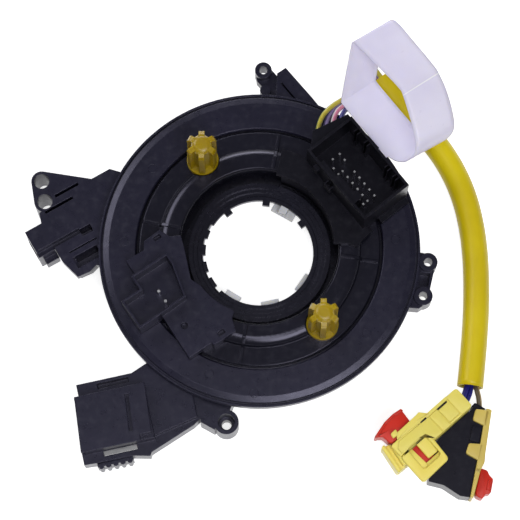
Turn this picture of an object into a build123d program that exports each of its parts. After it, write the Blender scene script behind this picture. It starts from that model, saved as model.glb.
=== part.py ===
from build123d import *
from math import cos, pi, radians, sin, sqrt, tan
import os

# Steering clock spring, in millimetres.
# The turning axis is Z through the origin. The housing's floor lies on z = 0, and +Z points at the driver.

# Housing and cover
RIM_RADIUS = 39.3
WALL_RADIUS = RIM_RADIUS + 10.7
WALL_THICKNESS = 2.2
WALL_TOP = 15.3
FLOOR_THICKNESS = 2.0
COLUMN_BORE_RADIUS = 22.5
COVER_RADIUS = WALL_RADIUS + 2.5
COVER_TOP = 19.0
COVER_FALL = 1.0
COVER_FLAT_RADIUS = COVER_RADIUS - 3.4
COVER_RIM_WIDTH = 0.7
COVER_GROOVE_WIDTH = 0.7
COVER_GROOVE_DEPTH = 1.0
COVER_THICKNESS = 1.6
LIP_DEPTH = 1.5
LIP_THICKNESS = 1.2

# Clearances
RUNNING_GAP = 0.9
FIT_GAP = 0.3
SEAT_GAP = 0.2

# Rotor
LEDGE_WIDTH = 2.7
LEDGE_THICKNESS = 1.5
HUB_BORE_RADIUS = 25.8
HUB_WALL = 1.5
HUB_TOP = 21.4
HUB_FLAT_RADIUS = 29.7
SHOULDER_RADIUS = 33.1
DISC_THICKNESS = 1.6
RIB_WIDTH = 1.0
RIB_HEIGHT = 0.4
RIB_ANGLES = (80.3, 166.8, -99.3, -6.9)
SHORT_RIB_ANGLE = -52.8
SHORT_RIB_LENGTH = 2.8

# Hub sleeve and the ring behind it
HOLE_RADIUS = 17.7
SLEEVE_RADIUS = 23.4
SLEEVE_WALL = 1.2
SLEEVE_TOP = 12.4
SLEEVE_FLANGE = 1.5
SLEEVE_STEPS = ((21.8, 0.5), (20.4, 0.8), (19.1, 0.4))
TOOTH_ANGLES = (127.1, 82.5, 35.1)
TOOTH_REACH = 1.6
TOOTH_WIDTH = 2.4
NOTCH_ANGLES = (152.0, 168.0, 186.0, 204.0, 222.0)
NOTCH_WIDTH = 2.2
NOTCH_DEPTH = 1.0
DRIVE_RING_THICKNESS = 1.5
DRIVE_RING_WIDTH = 3.4
DRIVE_TABS = ((-34.4, 6.4, 1.5), (-121.6, 5.4, 2.1), (-78.0, 6.0, 1.7), (60.8, 8.0, 2.8))
DRIVE_LUG_ANGLE = 60.8
DRIVE_LUG_HEIGHT = 2.8
DRIVE_LUG_WIDTH = 2.6

# Ribbon cable and its sliding sheets
SHEET_THICKNESS = 0.3
RIBBON_THICKNESS = 0.3
RIBBON_HALF_TURNS = 10
RIBBON_BLOCK_LENGTH = 12.0
RIBBON_BLOCK_THICKNESS = 1.1

# Peg caps on their posts
PEG_PLACES = ((-18.6, 29.2), (20.3, -25.8))
PEG_BASE_RADIUS = 5.2
PEG_BASE_HEIGHT = 3.0
PEG_CORE_RADIUS = 3.4
PEG_DOME_HEIGHT = 1.3
PEG_TIP_RADIUS = 1.2
PEG_TOP = 39.8
PEG_FIN_WIDTH = 1.9
PEG_FIN_REACH = 4.9
PEG_FIN_TOP = 39.4
PEG_FIN_ROUNDING = 1.7
PEG_FINS = 6
PEG_FIN_ANGLE = 30.0
POST_RADIUS = 2.3
POST_TOP = 31.0

# Switch connector: its frame's x runs along the long side, y outward
SWITCH_PLACE = (35.55, -51.5, 38.96)
SWITCH_BASE = 19.6
SWITCH_FLOOR = 22.0
SWITCH_RIM = 35.0
SWITCH_LENGTH = 29.4
SWITCH_WIDTH = 18.4
SWITCH_WALL = 0.9
SWITCH_BLOCK_TOP = 33.0
PIN_PITCH = 2.54
PIN_SIZE = 0.64
LYING_PIN_LENGTH = 7.5
SWITCH_PIN_TOP = 29.5

# Two-way socket: its frame's origin is midway between its pins
SOCKET_PLACE = (-150.4, -56.0, 35.94)
SOCKET_PLATE_TOP = 24.0
SOCKET_FLOOR = 22.2
SOCKET_RIM = 28.5
SOCKET_WALL = 0.75
SOCKET_PIN_SPACING = 3.9
SOCKET_PIN_TOP = 26.5

# Wings and lugs on the housing's wall: angle of the place, heading of x, distance from the axis
SIDE_WING_PLACE = (172.0, 210.0, WALL_RADIUS)
SIDE_WING_TOP = 15.0
BOX_WING_PLACE = (228.0, 192.5, WALL_RADIUS)
BOX_TOP = 15.2
BOX_LID_TOP = 17.0
BOX_WEB_TOP = 13.0
BOX_SKIRT_TOP = 11.0
BOX_SKIRT_FOOT = 4.0
TOP_LUG_PLACE = (82.0, 82.0, WALL_RADIUS)
RIGHT_LUG_PLACE = (-9.0, -9.0, WALL_RADIUS)
BOTTOM_LUG_PLACE = (-101.0, -101.0, WALL_RADIUS)
LUG_TOP = 13.0
BOTTOM_LUG_TOP = 11.0
TOP_LUG_HOLE_RADIUS = 1.4
RIGHT_LUG_HOLE_RADIUS = 1.4
BOTTOM_LUG_HOLE_RADIUS = 1.6
SIDE_SOCKET_DEPTH = 13.0
BOX_SOCKET_DEPTH = 15.0
SOCKET_SHELL = 1.4

# Airbag lead
SLEEVE_DIAMETER = 8.6
WIRE_DIAMETER = 1.6
PLUG_PLACE = (-35.92, 221.6, 81.99)
PLUG_TOP = 13.0
BLACK_PLUG_PLACE = (-35.13, 256.0, 87.42)
BLACK_PLUG_TOP = 9.0

# Transit strap
STRAP_THICKNESS = 0.5
STRAP_WIDTH = 15.0
STRAP_TILT = 5.0

CHAMBER_RADIUS = WALL_RADIUS - WALL_THICKNESS
COVER_BORE_RADIUS = RIM_RADIUS + RUNNING_GAP
COVER_UNDERSIDE = WALL_TOP + RUNNING_GAP
LEDGE_TOP = COVER_UNDERSIDE - FIT_GAP
CHAMBER_TOP = LEDGE_TOP - LEDGE_THICKNESS
SLEEVE_FOOT = FLOOR_THICKNESS + FIT_GAP
HUB_FOOT = SLEEVE_FOOT + SLEEVE_FLANGE
HUB_RADIUS = HUB_BORE_RADIUS + HUB_WALL

os.makedirs("parts", exist_ok=True)


def frame(place, height=0.0):
    """Horizontal plane at a height. The place gives its origin's angle about the axis, the
    heading of its x direction and the origin's distance from the axis."""
    angle, heading, distance = place
    return Plane(
        origin=(distance * cos(radians(angle)), distance * sin(radians(angle)), height),
        x_dir=(cos(radians(heading)), sin(radians(heading)), 0),
        z_dir=(0, 0, 1),
    )


def block(place, x, y, z, mode=Mode.ADD):
    """Upright block between the limits x, y and z of a place."""
    with BuildSketch(frame(place, z[0])) as section:
        with Locations(((x[0] + x[1]) / 2, (y[0] + y[1]) / 2)):
            Rectangle(x[1] - x[0], y[1] - y[0])
    extrude(section.sketch, amount=z[1] - z[0], mode=mode)


def prism(place, outline, z, mode=Mode.ADD):
    """Upright prism over a closed outline of straight sides, between the limits z."""
    with BuildSketch(frame(place, z[0])) as section:
        with BuildLine():
            Polyline(*outline, close=True)
        make_face()
    extrude(section.sketch, amount=z[1] - z[0], mode=mode)


def column(place, centre, radius, z, mode=Mode.ADD):
    """Upright cylinder at a centre in the frame of a place, between the limits z."""
    with BuildSketch(frame(place, z[0])) as section:
        with Locations(centre):
            Circle(radius)
    extrude(section.sketch, amount=z[1] - z[0], mode=mode)


def turned(outline):
    """Solid of revolution about Z from a closed outline of radius and height."""
    with BuildSketch(Plane.XZ) as section:
        with BuildLine():
            Polyline(*outline, close=True)
        make_face()
    revolve(section.sketch, axis=Axis.Z)


AXIS = (0.0, 0.0, 0.0)

# The housing: tub, wings and lugs in one moulding

SIDE_BODY = (
    (-18.0, -10.0),
    (-10.4, -18.0),
    (-3.8, -18.0),
    (17.0, -16.4),
    (18.1, -13.0),
    (24.2, -13.0),
    (24.2, -3.7),
    (18.2, -3.7),
    (18.2, 2.0),
    (16.4, 8.8),
    (12.1, 9.2),
    (9.2, 8.3),
    (7.9, 9.5),
    (-5.0, 12.0),
)
SIDE_BASE = (
    (-18.0, -10.0),
    (-10.4, -18.0),
    (-3.8, -18.0),
    (17.0, -16.4),
    (18.1, -13.0),
    (24.2, -13.0),
    (24.2, -3.7),
    (16.7, -3.7),
    (14.9, 6.3),
    (10.6, 6.7),
    (7.7, 5.8),
    (6.4, 7.0),
    (-5.0, 9.5),
)
SIDE_PLATE_FOOT = 12.0
EAR_BOSSES = (((11.1, -25.5), 3.4, 2.5), ((13.5, -18.9), 3.5, 2.5))
EAR_ROOT = (-3.2, -17.0)
SIDE_SOCKET_Y = (-11.8, -4.9)
SIDE_SOCKET_Z = (2.0, 11.0)
SIDE_SOCKET_FACE = 24.2
BOX_SKIRT = (
    (29.6, 23.0),
    (29.6, 27.3),
    (25.0, 27.5),
    (13.5, 27.6),
    (8.1, 28.9),
    (7.5, 27.8),
    (-7.7, 22.1),
    (-15.7, 17.1),
    (-20.0, 8.0),
    (5.0, 10.0),
)
BOX_WEB = (
    (26.9, 1.4),
    (8.6, 1.4),
    (3.0, -0.8),
    (-10.0, -2.0),
    (-14.0, 8.0),
    (-9.4, 12.3),
    (-9.2, 20.0),
    (6.4, 23.2),
    (26.9, 23.2),
)
BOX_FACE = 28.4
BOX_BODY_X = (5.5, BOX_FACE)
BOX_BODY_Y = (5.9, 24.0)
BOX_SOCKET_Y = (8.0, 22.0)
BOX_SOCKET_Z = (2.0, 12.6)
TOP_LUG_PLATE = (
    (-4.0, 2.0),
    (3.0, 1.8),
    (11.6, 2.7),
    (14.0, 0.1),
    (5.0, -9.9),
    (1.4, -13.6),
    (-4.0, -13.0),
)
TOP_LUG_ARM = (
    (-4.0, 6.2),
    (3.0, 6.3),
    (7.1, 6.9),
    (8.9, 9.1),
    (10.6, 9.7),
    (14.2, 5.6),
    (11.6, 2.6),
    (3.0, 1.7),
    (-4.0, 1.9),
)
TOP_LUG_SLOT = ((8.3, 1.0), (8.7, 0.6), (3.1, -5.4), (2.7, -5.0))
TOP_LUG_ARM_TOP = 10.0
TOP_LUG_HOLE = (12.1, 7.4)
TOP_LUG_BOSS_RADIUS = 2.8
TOP_LUG_KNOB = (5.6, 5.8)
TOP_LUG_KNOB_RADIUS = 1.8
RIGHT_LUG = ((-4.0, 8.3), (5.2, 8.3), (7.6, 3.0), (7.2, -2.5), (7.0, -8.0), (4.4, -10.4), (-4.0, -11.0))
RIGHT_LUG_HOLES = ((5.2, 5.3), (5.2, -6.2))
RIGHT_LUG_BOSS_RADIUS = 3.1
RIGHT_LUG_POCKET = ((3.2, 6.4), (-2.6, 1.8))
RAISED_LUG_FOOT = 5.5
BOTTOM_LUG_HOLE = (7.1, 0.2)
BOTTOM_LUG_RADIUS = 4.0
BOTTOM_LUG_RECESS_RADIUS = 2.7
BOTTOM_LUG_RECESS_FLOOR = 5.0
BOTTOM_ARM = ((-4.0, -9.0), (4.0, -9.5), (8.7, -8.0), (10.3, -3.1), (6.0, 0.0), (-4.0, 2.0))


def side_wing():
    """Wing with its socket, ear and surface slots."""
    prism(SIDE_WING_PLACE, SIDE_BODY, (SIDE_PLATE_FOOT, SIDE_WING_TOP))
    prism(SIDE_WING_PLACE, SIDE_BASE, (0, SIDE_PLATE_FOOT))
    with BuildSketch(frame(SIDE_WING_PLACE)) as ear:
        for centre, radius, hole in EAR_BOSSES:
            with Locations(centre):
                Circle(radius)
        with Locations(EAR_ROOT):
            Circle(1.0)
        make_hull()
    extrude(ear.sketch, amount=SIDE_WING_TOP)
    for centre, radius, hole in EAR_BOSSES:
        column(SIDE_WING_PLACE, centre, hole, (0, SIDE_WING_TOP), Mode.SUBTRACT)
    block(SIDE_WING_PLACE, (18.2, 22.8), (-3.9, -1.6), (3.0, 8.0))
    block(SIDE_WING_PLACE, (1.1, 9.7), (-19.2, -18.3), (8.0, SIDE_WING_TOP), Mode.SUBTRACT)
    block(SIDE_WING_PLACE, (4.9, 15.2), (-16.0, -15.1), (8.0, SIDE_WING_TOP), Mode.SUBTRACT)
    block(SIDE_WING_PLACE, (8.3, SIDE_SOCKET_FACE), (-5.4, -3.7), (12.4, SIDE_WING_TOP), Mode.SUBTRACT)
    block(SIDE_WING_PLACE, (4.4, 8.3), (-4.9, -2.4), (8.0, SIDE_WING_TOP), Mode.SUBTRACT)
    block(SIDE_WING_PLACE, (4.7, 14.8), (0.1, 0.6), (13.6, SIDE_WING_TOP), Mode.SUBTRACT)
    block(SIDE_WING_PLACE, (6.0, 14.8), (2.4, 6.4), (SIDE_PLATE_FOOT, SIDE_WING_TOP), Mode.SUBTRACT)
    block(SIDE_WING_PLACE, (6.0, 13.8), (2.4, 5.2), (6.0, SIDE_PLATE_FOOT), Mode.SUBTRACT)
    mouth = (SIDE_SOCKET_FACE - SIDE_SOCKET_DEPTH, SIDE_SOCKET_FACE)
    block(SIDE_WING_PLACE, mouth, SIDE_SOCKET_Y, SIDE_SOCKET_Z, Mode.SUBTRACT)


def box_wing():
    """Wing with the larger socket, open at its outer end, and the web that carries it."""
    prism(BOX_WING_PLACE, BOX_SKIRT, (BOX_SKIRT_FOOT, BOX_SKIRT_TOP))
    prism(BOX_WING_PLACE, BOX_WEB, (0, BOX_WEB_TOP))
    block(BOX_WING_PLACE, BOX_BODY_X, BOX_BODY_Y, (0, BOX_TOP))
    block(BOX_WING_PLACE, (10.0, 20.2), (2.4, 4.2), (10.0, BOX_WEB_TOP), Mode.SUBTRACT)
    block(BOX_WING_PLACE, (11.7, 22.7), (24.2, 25.8), (4.0, BOX_SKIRT_TOP), Mode.SUBTRACT)
    mouth = (BOX_FACE - BOX_SOCKET_DEPTH, 30.0)
    block(BOX_WING_PLACE, mouth, BOX_SOCKET_Y, BOX_SOCKET_Z, Mode.SUBTRACT)


def lugs():
    """Three screw lugs round the wall."""
    raised = (RAISED_LUG_FOOT, LUG_TOP)
    prism(TOP_LUG_PLACE, TOP_LUG_PLATE, raised)
    prism(TOP_LUG_PLACE, TOP_LUG_SLOT, (LUG_TOP - 3.0, LUG_TOP), Mode.SUBTRACT)
    prism(TOP_LUG_PLACE, TOP_LUG_ARM, (RAISED_LUG_FOOT, TOP_LUG_ARM_TOP))
    column(TOP_LUG_PLACE, TOP_LUG_KNOB, TOP_LUG_KNOB_RADIUS, (RAISED_LUG_FOOT, LUG_TOP - 1.0))
    column(TOP_LUG_PLACE, TOP_LUG_HOLE, TOP_LUG_BOSS_RADIUS, raised)
    column(TOP_LUG_PLACE, TOP_LUG_HOLE, TOP_LUG_HOLE_RADIUS, raised, Mode.SUBTRACT)
    prism(RIGHT_LUG_PLACE, RIGHT_LUG, (RAISED_LUG_FOOT, LUG_TOP - 1.0))
    for centre in RIGHT_LUG_HOLES:
        column(RIGHT_LUG_PLACE, centre, RIGHT_LUG_BOSS_RADIUS, raised)
        column(RIGHT_LUG_PLACE, centre, RIGHT_LUG_HOLE_RADIUS, raised, Mode.SUBTRACT)
    block(RIGHT_LUG_PLACE, *RIGHT_LUG_POCKET, (8.0, LUG_TOP), Mode.SUBTRACT)
    prism(BOTTOM_LUG_PLACE, BOTTOM_ARM, (0, BOTTOM_LUG_TOP))
    column(BOTTOM_LUG_PLACE, BOTTOM_LUG_HOLE, BOTTOM_LUG_RADIUS, (0, BOTTOM_LUG_TOP))
    column(BOTTOM_LUG_PLACE, BOTTOM_LUG_HOLE, BOTTOM_LUG_HOLE_RADIUS, (0, BOTTOM_LUG_TOP), Mode.SUBTRACT)
    recess = (BOTTOM_LUG_RECESS_FLOOR, BOTTOM_LUG_TOP)
    column(BOTTOM_LUG_PLACE, BOTTOM_LUG_HOLE, BOTTOM_LUG_RECESS_RADIUS, recess, Mode.SUBTRACT)


with BuildPart() as stator_housing:
    side_wing()
    box_wing()
    lugs()
    column(AXIS, (0, 0), CHAMBER_RADIUS, (0, COVER_TOP), Mode.SUBTRACT)
    turned(
        (
            (COLUMN_BORE_RADIUS, 0),
            (WALL_RADIUS, 0),
            (WALL_RADIUS, WALL_TOP),
            (CHAMBER_RADIUS, WALL_TOP),
            (CHAMBER_RADIUS, FLOOR_THICKNESS),
            (COLUMN_BORE_RADIUS, FLOOR_THICKNESS),
        )
    )
stator_housing.part.label = "stator_housing"
export_step(stator_housing.part, "parts/stator_housing.step")

# Cover ring, seated on the wall and centred by a lip inside it

LIP_RADIUS = CHAMBER_RADIUS - SEAT_GAP
with BuildPart() as cover_ring:
    rim_top = COVER_TOP - COVER_FALL
    groove_outside = COVER_RADIUS - COVER_RIM_WIDTH
    groove_inside = groove_outside - COVER_GROOVE_WIDTH
    turned(
        (
            (COVER_BORE_RADIUS, COVER_UNDERSIDE),
            (LIP_RADIUS - LIP_THICKNESS, COVER_UNDERSIDE),
            (LIP_RADIUS - LIP_THICKNESS, WALL_TOP - LIP_DEPTH),
            (LIP_RADIUS, WALL_TOP - LIP_DEPTH),
            (LIP_RADIUS, WALL_TOP),
            (COVER_RADIUS, WALL_TOP),
            (COVER_RADIUS, rim_top),
            (groove_outside, rim_top),
            (groove_outside, rim_top - COVER_GROOVE_DEPTH),
            (groove_inside, rim_top - COVER_GROOVE_DEPTH),
            (groove_inside, rim_top + 0.4),
            (COVER_FLAT_RADIUS, COVER_TOP),
            (COVER_BORE_RADIUS + 0.4, COVER_TOP),
            (COVER_BORE_RADIUS, COVER_TOP - 0.4),
        )
    )
cover_ring.part.label = "cover_ring"
export_step(cover_ring.part, "parts/cover_ring.step")

# Lid of the box wing's connector, with its long slot

BOX_LID = ((28.2, 5.9), (5.1, 5.9), (6.2, 22.3), (10.0, 22.3), (10.2, 24.2), (29.6, 24.0))
BOX_LID_SLOT = ((10.9, 8.6), (12.1, 8.5), (13.1, 20.6), (11.9, 20.7))
with BuildPart() as connector_lid:
    prism(BOX_WING_PLACE, BOX_LID, (BOX_TOP, BOX_LID_TOP))
    prism(BOX_WING_PLACE, BOX_LID_SLOT, (BOX_TOP, BOX_LID_TOP), Mode.SUBTRACT)
connector_lid.part.label = "connector_lid"
export_step(connector_lid.part, "parts/connector_lid.step")

# Ribbed finger latch on the box wing's side

LATCH_X = (13.7, 25.5)
LATCH_Y = (27.6, 28.7)
LATCH_Z = (2.0, 9.5)
LATCH_RIBS = 5
with BuildPart() as connector_latch:
    block(BOX_WING_PLACE, LATCH_X, LATCH_Y, LATCH_Z)
    rib_pitch = (LATCH_X[1] - LATCH_X[0]) / LATCH_RIBS
    for rib in range(LATCH_RIBS):
        middle = LATCH_X[0] + (rib + 0.5) * rib_pitch
        column(BOX_WING_PLACE, (middle, LATCH_Y[1]), 0.8, LATCH_Z)
connector_latch.part.label = "connector_latch"
export_step(connector_latch.part, "parts/connector_latch.step")


def lying_pins(place, face, depth, rows_y, rows_z):
    """Square pins that stand on a socket's back wall and point out of its mouth."""
    reach = (face - depth, face - depth + LYING_PIN_LENGTH)
    half = PIN_SIZE / 2
    for y in rows_y:
        for z in rows_z:
            block(place, reach, (y - half, y + half), (z - half, z + half))


def spread(limits, count):
    """Middle positions of a row of pins at the pin pitch, centred between two limits."""
    middle = (limits[0] + limits[1]) / 2
    return [middle + (i - (count - 1) / 2) * PIN_PITCH for i in range(count)]


with BuildPart() as side_pins:
    side_rows = (spread(SIDE_SOCKET_Y, 2), spread(SIDE_SOCKET_Z, 3))
    lying_pins(SIDE_WING_PLACE, SIDE_SOCKET_FACE, SIDE_SOCKET_DEPTH, *side_rows)
side_pins.part.label = "side_pins"
export_step(side_pins.part, "parts/side_pins.step")

with BuildPart() as harness_pins:
    lying_pins(BOX_WING_PLACE, BOX_FACE, BOX_SOCKET_DEPTH, spread(BOX_SOCKET_Y, 5), spread(BOX_SOCKET_Z, 3))
harness_pins.part.label = "harness_pins"
export_step(harness_pins.part, "parts/harness_pins.step")

# Rotor: hub, shoulder and disc in one moulding, with a ledge that the cover keeps in

with BuildPart() as rotor_disc:
    with BuildSketch(Plane.XZ):
        with BuildLine():
            Polyline(
                (HUB_FLAT_RADIUS, HUB_TOP),
                (HUB_BORE_RADIUS + 0.6, HUB_TOP),
                (HUB_BORE_RADIUS, HUB_TOP - 0.6),
                (HUB_BORE_RADIUS, HUB_FOOT),
                (HUB_RADIUS, HUB_FOOT),
                (HUB_RADIUS, CHAMBER_TOP),
                (HUB_RADIUS + 1.3, CHAMBER_TOP),
                (HUB_RADIUS + 1.3, COVER_TOP - DISC_THICKNESS),
                (RIM_RADIUS - 1.3, COVER_TOP - DISC_THICKNESS),
                (RIM_RADIUS - 1.3, CHAMBER_TOP),
                (RIM_RADIUS + LEDGE_WIDTH, CHAMBER_TOP),
                (RIM_RADIUS + LEDGE_WIDTH, LEDGE_TOP),
                (RIM_RADIUS, LEDGE_TOP),
                (RIM_RADIUS, COVER_TOP - 0.3),
                (RIM_RADIUS - 0.3, COVER_TOP),
                (SHOULDER_RADIUS, COVER_TOP),
            )
            EllipticalCenterArc(
                center=(HUB_FLAT_RADIUS, COVER_TOP),
                x_radius=SHOULDER_RADIUS - HUB_FLAT_RADIUS,
                y_radius=HUB_TOP - COVER_TOP,
                start_angle=0,
                arc_size=90,
            )
        make_face()
    revolve(axis=Axis.Z)
    for angle in RIB_ANGLES:
        along_rib = frame((angle, angle, 0))
        with BuildSketch(Plane(origin=(0, 0, 0), x_dir=along_rib.x_dir, z_dir=-along_rib.y_dir)) as rib_side:
            with BuildLine():
                Polyline(
                    (HUB_BORE_RADIUS + 0.6, HUB_TOP - 0.6),
                    (HUB_BORE_RADIUS + 0.6, HUB_TOP + RIB_HEIGHT),
                    (HUB_FLAT_RADIUS + 0.8, HUB_TOP + RIB_HEIGHT),
                    (SHOULDER_RADIUS - 0.4, HUB_TOP - 0.5),
                    (SHOULDER_RADIUS + 0.6, COVER_TOP + RIB_HEIGHT),
                    (RIM_RADIUS - 0.3, COVER_TOP + RIB_HEIGHT),
                    (RIM_RADIUS - 0.3, COVER_TOP - 0.6),
                    (HUB_FLAT_RADIUS, COVER_TOP - 0.6),
                    close=True,
                )
            make_face()
        extrude(rib_side.sketch, amount=RIB_WIDTH / 2, both=True)
    short_rib = (SHORT_RIB_ANGLE, SHORT_RIB_ANGLE, 0)
    short_reach = (RIM_RADIUS - SHORT_RIB_LENGTH, RIM_RADIUS - 0.3)
    block(short_rib, short_reach, (-RIB_WIDTH / 2, RIB_WIDTH / 2), (COVER_TOP - 0.4, COVER_TOP + RIB_HEIGHT))
    for place in PEG_PLACES:
        column(AXIS, place, PEG_BASE_RADIUS + FIT_GAP, (COVER_TOP, HUB_TOP), Mode.SUBTRACT)
        column(AXIS, place, POST_RADIUS, (COVER_TOP - 1.0, POST_TOP))
rotor_disc.part.label = "rotor_disc"
export_step(rotor_disc.part, "parts/rotor_disc.step")

# Hub sleeve: stepped flange round the column hole, and the wall and foot that carry it

with BuildPart() as hub_sleeve:
    step_outline = []
    outer = SLEEVE_RADIUS
    drop = 0.0
    for radius, step_drop in SLEEVE_STEPS:
        step_outline += [(outer, SLEEVE_TOP - drop), (radius, SLEEVE_TOP - drop)]
        outer = radius
        drop = step_drop
    step_outline += [(outer, SLEEVE_TOP - drop), (HOLE_RADIUS, SLEEVE_TOP - drop)]
    flange_underside = SLEEVE_TOP - SLEEVE_FLANGE - 0.5
    turned(
        (
            (HOLE_RADIUS, flange_underside),
            (SLEEVE_RADIUS - SLEEVE_WALL, flange_underside),
            (SLEEVE_RADIUS - SLEEVE_WALL, SLEEVE_FOOT),
            (HUB_RADIUS, SLEEVE_FOOT),
            (HUB_RADIUS, HUB_FOOT),
            (SLEEVE_RADIUS, HUB_FOOT),
            *step_outline,
        )
    )
    tooth = (HOLE_RADIUS - TOOTH_REACH, HOLE_RADIUS + 0.6)
    for angle in TOOTH_ANGLES:
        across = (-TOOTH_WIDTH / 2, TOOTH_WIDTH / 2)
        block((angle, angle, 0), tooth, across, (flange_underside, SLEEVE_TOP - drop))
    notch = (HOLE_RADIUS - 1.0, HOLE_RADIUS + NOTCH_DEPTH)
    for angle in NOTCH_ANGLES:
        across = (-NOTCH_WIDTH / 2, NOTCH_WIDTH / 2)
        block((angle, angle, 0), notch, across, (flange_underside, SLEEVE_TOP), Mode.SUBTRACT)
hub_sleeve.part.label = "hub_sleeve"
export_step(hub_sleeve.part, "parts/hub_sleeve.step")

# Natural white ring under the sleeve's flange, with tabs that show in the hole

with BuildPart() as drive_ring:
    ring_top = flange_underside
    ring_foot = ring_top - DRIVE_RING_THICKNESS
    ring_radius = SLEEVE_RADIUS - SLEEVE_WALL - FIT_GAP
    inner_radius = ring_radius - DRIVE_RING_WIDTH
    turned(
        (
            (inner_radius, ring_foot),
            (ring_radius, ring_foot),
            (ring_radius, ring_top),
            (inner_radius, ring_top),
        )
    )
    for angle, width, reach in DRIVE_TABS:
        tab = (HOLE_RADIUS - reach, inner_radius + 0.5)
        block((angle, angle, 0), tab, (-width / 2, width / 2), (ring_foot, ring_top))
    lug = (DRIVE_LUG_ANGLE, DRIVE_LUG_ANGLE, 0)
    lug_across = (-DRIVE_LUG_WIDTH / 2, DRIVE_LUG_WIDTH / 2)
    lug_height = (ring_foot, ring_top + DRIVE_LUG_HEIGHT)
    block(lug, (HOLE_RADIUS - 2.8, HOLE_RADIUS - 0.4), lug_across, lug_height)
drive_ring.part.label = "drive_ring"
export_step(drive_ring.part, "parts/drive_ring.step")

# Sliding sheets below and above the ribbon

with BuildPart() as lower_sheet:
    turned(
        (
            (HUB_RADIUS + FIT_GAP, FLOOR_THICKNESS),
            (CHAMBER_RADIUS - FIT_GAP, FLOOR_THICKNESS),
            (CHAMBER_RADIUS - FIT_GAP, FLOOR_THICKNESS + SHEET_THICKNESS),
            (HUB_RADIUS + FIT_GAP, FLOOR_THICKNESS + SHEET_THICKNESS),
        )
    )
lower_sheet.part.label = "lower_sheet"
export_step(lower_sheet.part, "parts/lower_sheet.step")

with BuildPart() as upper_sheet:
    turned(
        (
            (HUB_RADIUS + FIT_GAP, CHAMBER_TOP - SHEET_THICKNESS),
            (RIM_RADIUS + LEDGE_WIDTH - FIT_GAP, CHAMBER_TOP - SHEET_THICKNESS),
            (RIM_RADIUS + LEDGE_WIDTH - FIT_GAP, CHAMBER_TOP),
            (HUB_RADIUS + FIT_GAP, CHAMBER_TOP),
        )
    )
upper_sheet.part.label = "upper_sheet"
export_step(upper_sheet.part, "parts/upper_sheet.step")

# Ribbon cable: a spiral of half circles, from the block on the hub to the block on the wall

RIBBON_LOW = FLOOR_THICKNESS + SHEET_THICKNESS + FIT_GAP
RIBBON_HIGH = CHAMBER_TOP - SHEET_THICKNESS - FIT_GAP
INNER_BLOCK_RADIUS = HUB_RADIUS + FIT_GAP + RIBBON_BLOCK_THICKNESS
OUTER_BLOCK_RADIUS = LIP_RADIUS - LIP_THICKNESS - RIBBON_THICKNESS
RIBBON_START = INNER_BLOCK_RADIUS + RIBBON_THICKNESS
RIBBON_END = OUTER_BLOCK_RADIUS - RIBBON_THICKNESS
RIBBON_STEP = (RIBBON_END - RIBBON_START) / RIBBON_HALF_TURNS
with BuildPart() as ribbon_cable:
    with BuildSketch(Plane.XY.offset(RIBBON_LOW)):
        with BuildLine():
            for half in range(RIBBON_HALF_TURNS):
                side = 1 if half % 2 == 0 else -1
                start = side * (RIBBON_START + half * RIBBON_STEP)
                end = -side * (RIBBON_START + (half + 1) * RIBBON_STEP)
                reach = side * abs(start - end) / 2
                ThreePointArc((start, 0), ((start + end) / 2, reach), (end, 0))
        trace(line_width=RIBBON_THICKNESS)
    extrude(amount=RIBBON_HIGH - RIBBON_LOW)
ribbon_cable.part.label = "ribbon_cable"
export_step(ribbon_cable.part, "parts/ribbon_cable.step")


def ribbon_block(inner, outer, angle):
    """Curved block that holds one end of the ribbon, between two radii."""
    with BuildSketch(frame((angle, angle, 0), RIBBON_LOW)) as section:
        Circle(outer)
        Circle(inner, mode=Mode.SUBTRACT)
        with Locations(((inner + outer) / 2, 0)):
            Rectangle(outer, RIBBON_BLOCK_LENGTH, mode=Mode.INTERSECT)
    extrude(section.sketch, amount=RIBBON_HIGH - RIBBON_LOW)


with BuildPart() as inner_ribbon_block:
    ribbon_block(HUB_RADIUS, INNER_BLOCK_RADIUS, 0.0)
inner_ribbon_block.part.label = "inner_ribbon_block"
export_step(inner_ribbon_block.part, "parts/inner_ribbon_block.step")

with BuildPart() as outer_ribbon_block:
    ribbon_block(OUTER_BLOCK_RADIUS + 0.3, CHAMBER_RADIUS, 0.0)
outer_ribbon_block.part.label = "outer_ribbon_block"
export_step(outer_ribbon_block.part, "parts/outer_ribbon_block.step")

# Peg caps: ribbed domed caps over the rotor's posts


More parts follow.
